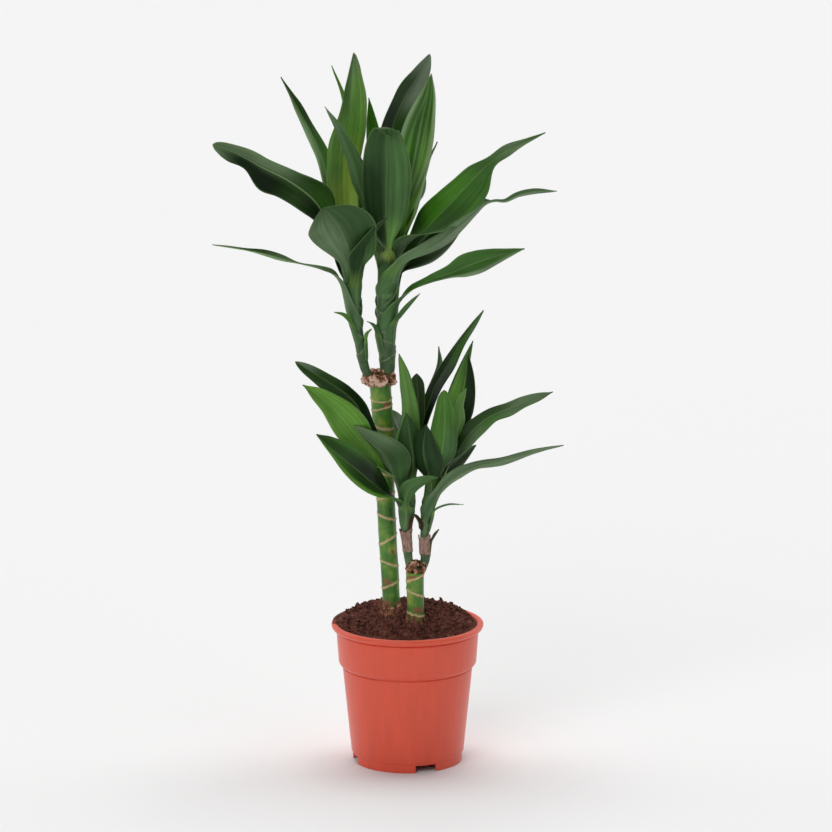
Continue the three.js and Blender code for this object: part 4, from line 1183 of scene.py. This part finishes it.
stem = {
    "rowLength": 1.0,
    "around": 48,
    "sheathHeight": 0.8,
    "sheathLength": 9,
    "edgeWidth": 1.4,
    "edgePale": 0.7,
    "edgeRagged": 1.2,
    "lumps": 0.3,
    "noiseRadius": 6,
    "noiseSqueeze": 50,
    "inset": 0.3,
    "lineSize": 1.1,
    "lineDepth": 0.2,
    "patchSize": 12,
    "colours": [(0.4, "#35532f"), (0.65, "#54703f")],
    "edgeColour": "#9aa878",
}

paper = {
    "around": 40,
    "rows": 24,
    "thickness": 0.5,
    "lowRagged": 4,
    "highRagged": 5,
    "puff": (0.9, 0.5),  # how far a dry sheath stands off the stem, and how much that varies
    "flare": (0.9, 6),  # how far its upper edge stands out, and how far down that starts
    "fibreSize": 1.3,
    "fibreDepth": 0.4,
    "colours": [(0.3, "#5a3b33"), (0.7, "#c0a092")],
}


# Waxy leaf surface. Parallel veins run lengthwise, so their noise is stretched along the leaf by its own
# attributes: leafPlace holds the vein (mm across at the widest), the reach (mm along) and a seed;
# leafShape holds the distance from the midrib (0 to 1), how pale the midrib is, and how strongly pale
# stripes of painted sheen run along the leaf. The pale midrib is its own colour, with a painted highlight on
# some leaves.
def leafSurface(name, toneName, grain, gloss, rib, specular):
    material, tree = newMaterial(name)
    place = addNode(tree, "Attribute", {"attribute_name": "leafPlace"}).outputs["Vector"]
    shape = addNode(tree, "Attribute", {"attribute_name": "leafShape"}).outputs["Vector"]
    tone = addNode(tree, "Attribute", {"attribute_name": toneName}).outputs["Color"]
    part = addNode(tree, "SeparateXYZ", {}, (place,))
    form = addNode(tree, "SeparateXYZ", {}, (shape,))
    patterns = []
    shade = 1
    for size, length, detail, darkest, palest in grain:
        stretch = (1 / size, 1 / length, 1)
        stretched = addNode(tree, "VectorMath", {"operation": "MULTIPLY"}, (place, stretch))
        pattern = addNode(tree, "TexNoise", {}, {"Vector": stretched, "Scale": 1, "Detail": detail})
        tint = addNode(tree, "MapRange", {}, {
            "Value": pattern, "From Min": 0.3, "From Max": 0.7, "To Min": darkest, "To Max": palest})
        shade = addNode(tree, "Math", {"operation": "MULTIPLY"}, (shade, tint))
        patterns.append(pattern)
    veins, bands, _ = patterns
    plain = addNode(tree, "VectorMath", {"operation": "SCALE"}, {0: tone, "Scale": shade})
    # pale stripes of painted sheen along the leaf, where its bands are high
    sheenStripe = addNode(tree, "MapRange", {"interpolation_type": "SMOOTHSTEP"}, {
        "Value": bands, "From Min": 0.46, "From Max": 0.62, "To Min": 0, "To Max": form.outputs["Z"]})
    green = addNode(tree, "Mix", {"data_type": "RGBA"}, {0: sheenStripe, 6: plain, 7: linear("#8fae7c")})
    # pale midrib: its own paler colour, with a painted highlight where rib is high
    offRib = addNode(tree, "Math", {"operation": "ABSOLUTE"}, (part.outputs["X"],))
    ribLine = addNode(tree, "MapRange", {"interpolation_type": "SMOOTHSTEP"}, {
        "Value": offRib, "From Min": 0.2, "From Max": 1.5, "To Min": rib, "To Max": 0})
    ribShare = addNode(tree, "Math", {"operation": "MULTIPLY"}, (ribLine, form.outputs["Y"]))
    ribbed = addNode(tree, "Mix", {"data_type": "RGBA"}, {
        0: ribShare, 6: green.outputs[2], 7: linear("#8fae74")})
    margin = addNode(tree, "MapRange", {"interpolation_type": "SMOOTHSTEP"}, {
        "Value": form.outputs["X"], "From Min": 0.93, "From Max": 1, "To Min": 0, "To Max": 0.45})
    colour = addNode(tree, "Mix", {"data_type": "RGBA"}, {
        0: margin, 6: ribbed.outputs[2], 7: linear("#6f8f52")})
    roughness = addNode(tree, "MapRange", {}, {
        "Value": bands, "From Min": 0.3, "From Max": 0.7, "To Min": gloss - 0.05, "To Max": gloss + 0.06})
    bump = addNode(tree, "Bump", {}, {"Strength": 0.35, "Distance": 0.12 * millimetre, "Height": veins})
    finishMaterial(tree, {"Base Color": colour.outputs[2], "Roughness": roughness, "Normal": bump,
                          "IOR": 1.45, "Specular IOR Level": specular})
    return material


# Outer skin of the soft stems: waxy grey-green, with a pale line where an old sheath ends.
def stemSkin():
    material, tree = newMaterial("waxy stem skin")
    place = addNode(tree, "TexCoord").outputs["Object"]
    lengthwise = addNode(tree, "Mapping", {}, {0: place, "Scale": (1, 1, 0.1)})
    lines = addNode(tree, "TexNoise", {}, {
        "Vector": lengthwise, "Scale": perMetre(stem["lineSize"]), "Detail": 3})
    patch = addNode(tree, "TexNoise", {}, {
        "Vector": place, "Scale": perMetre(stem["patchSize"]), "Detail": 3})
    plain = addNode(tree, "ValToRGB", {}, (patch,), stem["colours"])
    shade = addNode(tree, "MapRange", {}, {
        "Value": lines, "From Min": 0.3, "From Max": 0.7, "To Min": 0.8, "To Max": 1.2})
    green = addNode(tree, "VectorMath", {"operation": "SCALE"}, {0: plain, "Scale": shade})
    edge = addNode(tree, "Attribute", {"attribute_name": "scar"}).outputs["Fac"]
    colour = addNode(tree, "Mix", {"data_type": "RGBA"}, {0: edge, 6: green, 7: linear(stem["edgeColour"])})
    bump = addNode(tree, "Bump", {}, {
        "Strength": 0.4, "Distance": stem["lineDepth"] * millimetre, "Height": lines})
    finishMaterial(tree, {"Base Color": colour.outputs[2], "Roughness": 0.5, "Normal": bump})
    return material


# Dried sheath: papery, pinkish brown, matt, with lengthwise fibres.
def drySheath():
    material, tree = newMaterial("dry papery sheath")
    place = addNode(tree, "TexCoord").outputs["Object"]
    lengthwise = addNode(tree, "Mapping", {}, {0: place, "Scale": (1, 1, 0.2)})
    lines = addNode(tree, "TexNoise", {}, {
        "Vector": lengthwise, "Scale": perMetre(paper["fibreSize"]), "Detail": 5, "Roughness": 0.7})
    colour = addNode(tree, "ValToRGB", {}, (lines,), paper["colours"])
    bump = addNode(tree, "Bump", {}, {
        "Strength": 0.7, "Distance": paper["fibreDepth"] * millimetre, "Height": lines})
    finishMaterial(tree, {"Base Color": colour, "Roughness": 0.85, "Normal": bump,
                          "Specular IOR Level": 0.2})
    return material


def widthAt(free, leaf, rootWidth):
    width = leaf["width"]
    neck = max(blade["neckWidth"] * width, blade["neckNarrowest"] * rootWidth)
    if free < blade["neckPlace"]:
        return mix(rootWidth, neck, smooth(free, 0, blade["neckPlace"]))
    if free < blade["peak"]:
        return mix(neck, width, smooth(free, blade["neckPlace"], blade["peak"]))
    past = (free - blade["peak"]) / (1 - blade["peak"])
    return max(width * (1 - past ** leaf.get("taper", blade["taper"])), blade["tipWidth"])


# A value listed at even steps from the neck of a leaf to its tip, on a smooth curve.
def valueAt(free, values):
    steps = len(values) - 1
    span = min(int(free * steps), steps - 1)
    share = free * steps - span
    a, b, c, d = [values[min(max(span + k, 0), steps)] for k in (-1, 0, 1, 2)]
    square = a - 2.5 * b + 2 * c - d / 2
    cubic = 1.5 * (b - c) + (d - a) / 2
    return b + share * ((c - a) / 2 + share * (square + share * cubic))


# Half widths on the two sides of the midrib.
def halvesAt(free, leaf, rootWidth):
    if "halves" not in leaf:
        return [widthAt(free, leaf, rootWidth) / 2] * 2
    pastRound = max(0, (free - blade["tipPlace"]) / (1 - blade["tipPlace"]))
    tip = math.sqrt(max(0, 1 - pastRound ** 2))
    rooted = smooth(free, 0, blade["halvesFrom"])
    return [max(mix(rootWidth / 2, valueAt(free, half), rooted) * tip, blade["tipWidth"] / 2)
            for half in (leaf["halves"][0], leaf["halves"][-1])]


# Colours of a leaf's strips, from its negative edge to its positive one, at a share of its length. They hold
# painted shade and sheen as well as the leaf's own greens.
def tonesAt(free, leaf, side):
    strips = [leaf["tone"]] if isinstance(leaf["tone"], str) else leaf["tone"]
    sheath = Vector(linear(tones[leaf.get("sheath", "sheath")][side]))
    base = Vector(linear(tones["base"][side]))
    found = []
    for strip in strips:
        colours = [Vector(linear(tones[name][side])) for name in strip.split()]
        place = free * (len(colours) - 1)
        span = min(int(place), max(0, len(colours) - 2))
        full = colours[span].lerp(colours[min(span + 1, len(colours) - 1)], smooth(place - span, 0, 1))
        if strip != "dry":
            young = base.lerp(full, blade["youngShare"] if len(colours) == 1 else 1)
            grown = smooth(free, *blade["youngTone"])
            full = sheath.lerp(young, smooth(free, *blade["sheathTone"])).lerp(full, grown)
        found.append(full)
    return found


def toneAcross(across, strips):
    place = (across + 1) / 2 * (len(strips) - 1)
    span = min(int(place), max(0, len(strips) - 2))
    share = smooth(place - span, *blade["stripBlend"])
    return strips[span].lerp(strips[min(span + 1, len(strips) - 1)], share)


# A leaf's rows along its midrib, each as a place, two directions, and the shape and colours there.
def leafRows(leaf, stalk, order):
    lowMiddle, lowRadius = placeOn(stalk, leaf["at"])
    highMiddle, highRadius = placeOn(stalk, leaf["at"] + blade["rootLength"])
    outward = Vector(leaf["way"][0]) - highMiddle
    outward.z = 0
    outward.normalize()
    sheathRadii = [lowRadius + blade["sheathGap"],
                   highRadius + blade["sheathGap"] + blade["rootLength"] * blade["sheathSpread"]]
    start = lowMiddle + outward * sheathRadii[0]
    end = highMiddle + outward * sheathRadii[1]
    midrib, length = evenCurve([start, end, *leaf["way"]], blade["rowLength"])
    last = len(midrib) - 1
    side = Vector((0, 0, 1)).cross(outward)
    rootWidth = blade["rootWidth"] * lowRadius
    clasps = leaf["width"] > blade["claspWidth"] and leaf["tone"] != "dry"
    claspFold = blade["claspFold"] if clasps else (blade["rootFold"], blade["rootFold"])
    letGoWidth = math.radians(claspFold[1]) * sheathRadii[1] if clasps else rootWidth
    sunk, outBy = blade["sheathFoot"]
    fadeIn, fullWave, fadeOut, noWave = blade["waveShare"]
    rows = []
    for row in range(last + 1):
        tangent = (midrib[min(row + 1, last)] - midrib[max(row - 1, 0)]).normalized()
        side = (side - tangent * side.dot(tangent)).normalized()
        reach = row / last * length
        clasp = min(1, reach / blade["rootLength"])
        free = max(0, (reach - blade["rootLength"]) / (length - blade["rootLength"]))
        flush = sunk * (1 - smooth(clasp, 0, outBy))
        vee = math.radians(valueAt(free, leaf.get("vee", blade["vee"]))) * smooth(free, 0, blade["veeFrom"])
        if clasp < 1:
            foldDegrees = mix(*claspFold, smooth(clasp, 0, 1))
            width = math.radians(foldDegrees) * (mix(*sheathRadii, clasp) + flush) if clasps else rootWidth
            halves = [width / 2] * 2
        else:
            letGo = 1 - smooth(free, 0, blade["letGo"])
            fold = leaf.get("fold", blade["fold"])
            foldDegrees = mix(blade["rootFold"], fold, smooth(free, 0, blade["foldFrom"]))
            foldDegrees += (claspFold[1] - blade["rootFold"]) * letGo
            halves = [mix(half, letGoWidth / 2, letGo) for half in halvesAt(free, leaf, rootWidth)]
        turnedSide = side.copy()
        roll = valueAt(free, (0, *leaf.get("roll", blade["roll"])))
        turnedSide.rotate(Quaternion(tangent, math.radians(roll)))
        swell = leaf.get("wave", blade["wave"]) * smooth(free, fadeIn, fullWave)
        swell *= 1 - smooth(free, fadeOut, noWave)
        phase = reach * 2 * math.pi / blade["waveLength"] + order
        rise = [swell * math.sin(phase), swell * math.sin(phase + blade["waveLag"])]
        rows.append((midrib[row] + outward * flush, turnedSide, tangent.cross(turnedSide), halves, vee,
                     math.radians(foldDegrees), rise, free, reach,
                     tonesAt(free, leaf, 0), tonesAt(free, leaf, 1)))
    return rows


# Each row is bent to an arc across the leaf, tilted by the vee on each side of the midrib.
def addLeaf(bm, layers, leaf, stalk, order):
    rows = leafRows(leaf, stalk, order)
    seed = 37 * order + leaf["at"]  # gives each leaf its own grain
    rib = leaf.get("rib", blade["rib"])
    placeLayer, shapeLayer, toneLayer, underLayer, thickLayer = layers
    grid = bmesh.ops.create_grid(bm, x_segments=blade["across"], y_segments=len(rows) - 1, size=1)["verts"]
    for vert in grid:
        across = math.copysign(abs(vert.co.x) ** blade["acrossBend"], -vert.co.x)
        row = rows[round((vert.co.y + 1) / 2 * (len(rows) - 1))]
        point, sideways, face, halves, vee, fold, rise, free, reach, strips, underStrips = row
        half = halves[across > 0]
        radius = sum(halves) / fold
        bend = vee + abs(across) * half / radius
        relief = smooth(free, *blade["reliefShare"])
        off = math.copysign(radius * (math.sin(bend) - math.sin(vee)), across)
        lift = radius * (math.cos(vee) - math.cos(bend)) + across ** 2 * rise[across > 0]
        lift -= blade["crease"] * relief * math.exp(-(across * half / blade["creaseWidth"]) ** 2)
        ripplePlace = Vector((reach / blade["rippleLength"], across * blade["rippleAcross"], seed))
        lift += blade["ripple"] * relief * noise.noise(ripplePlace)
        vert.co = point + sideways * off + face * lift
        vert[placeLayer] = (across * leaf["width"] / 2, reach, seed)
        vert[shapeLayer] = (abs(across), rib * mix(1, blade["ribTip"], free), leaf.get("sheenStripes", 0))
        vert[toneLayer] = toneAcross(across, strips)
        vert[underLayer] = toneAcross(across, underStrips)
        thin = mix(1, blade["thickness"] / blade["sheathThickness"], smooth(free, *blade["thinShare"]))
        vert[thickLayer][0] = thin * mix(blade["rootThin"], 1, smooth(reach, 0, blade["rootLength"]))


def makeLeaves(stalk, materials):
    bm = bmesh.new()
    layers = [bm.verts.layers.float_vector.new("leafPlace"), bm.verts.layers.float_vector.new("leafShape"),
              bm.verts.layers.float_color.new("tone"), bm.verts.layers.float_color.new("underTone"),
              bm.verts.layers.deform.verify()]
    for order, leaf in enumerate(stalk["leaves"]):
        addLeaf(bm, layers, leaf, stalk, order)
    piece = finishPiece(bm, stalk["node"] + "_leaves", materials, [stalk["node"]])
    piece.vertex_groups.new(name="thickness")
    wall = piece.modifiers.new("thickness", "SOLIDIFY")
    wall.thickness = blade["sheathThickness"] * millimetre
    wall.vertex_group = "thickness"
    wall.offset = -1
    wall.material_offset = 1
    wall.material_offset_rim = 0


def makeStem(stalk, material):
    bm = bmesh.new()
    scarLayer = bm.verts.layers.float.new("scar")
    low, high = stalk["path"][0][2], stalk["path"][-1][2]

    def pointAt(turn, share, vert):
        z = mix(low, high, share)
        middle, radius = placeOn(stalk, z)
        spot = noisePlace(turn, z, stem["noiseRadius"], stem["noiseSqueeze"])
        radius -= stem["inset"]
        scar = 0
        for edgeZ, tilt, toward in stalk["edges"]:
            ragged = stem["edgeRagged"] * rough(spot, 5, 2)
            below = edgeZ + tilt * math.cos(turn - math.radians(toward)) + ragged - z
            if 0 < below < stem["sheathLength"]:
                radius += stem["sheathHeight"] * (1 - below / stem["sheathLength"])
                scar = max(scar, 1 - smooth(below, 0, stem["edgeWidth"]))
        vert[scarLayer] = scar * stem["edgePale"]
        return middle + turned(radius + stem["lumps"] * rough(spot, 4, 2), turn)

    rollGrid(bm, stem["around"], round((high - low) / stem["rowLength"]), pointAt)
    finishPiece(bm, stalk["node"] + "_stem", [material], [stalk["node"]])


# A torn papery sheath round a stem.
def makeDrySheath(stalk, material):
    low, high, start, end = stalk["drySheath"]
    puff, puffRagged = paper["puff"]
    flare, flareHeight = paper["flare"]
    bm = bmesh.new()
    grid = bmesh.ops.create_grid(bm, x_segments=paper["around"], y_segments=paper["rows"], size=1)["verts"]
    for vert in grid:
        turn = math.radians(mix(start, end, (vert.co.x + 1) / 2))
        spot = noisePlace(turn, 0, stem["noiseRadius"], 1)
        lowEdge = low + paper["lowRagged"] * rough(spot, 5, 3)
        highEdge = high + paper["highRagged"] * rough(spot + Vector((9, 0, 0)), 5, 3)
        z = mix(lowEdge, highEdge, (vert.co.y + 1) / 2)
        middle, radius = placeOn(stalk, z)
        stand = puff + puffRagged * rough(spot + Vector((0, 0, z / 3)), 4, 3)
        stand += flare * smooth(z, high - flareHeight, high)
        vert.co = middle + turned(radius + stand, turn)
    piece = finishPiece(bm, stalk["node"] + "_dry_sheath", [material], [stalk["node"]])
    wall = piece.modifiers.new("thickness", "SOLIDIFY")
    wall.thickness = paper["thickness"] * millimetre


upperSide = leafSurface("waxy leaf, upper side", "tone", upperGrain, gloss=0.36, rib=0.9, specular=0.22)
underSide = leafSurface("leaf underside", "underTone", underGrain, gloss=0.50, rib=0.8, specular=0.15)
stemMaterial = stemSkin()
sheathMaterial = drySheath()
for stalk in (tallLeft, tallRight, shortLeft, shortRight):
    makeLeaves(stalk, [upperSide, underSide])
    makeStem(stalk, stemMaterial)
for stalk in (shortLeft, shortRight):
    makeDrySheath(stalk, sheathMaterial)
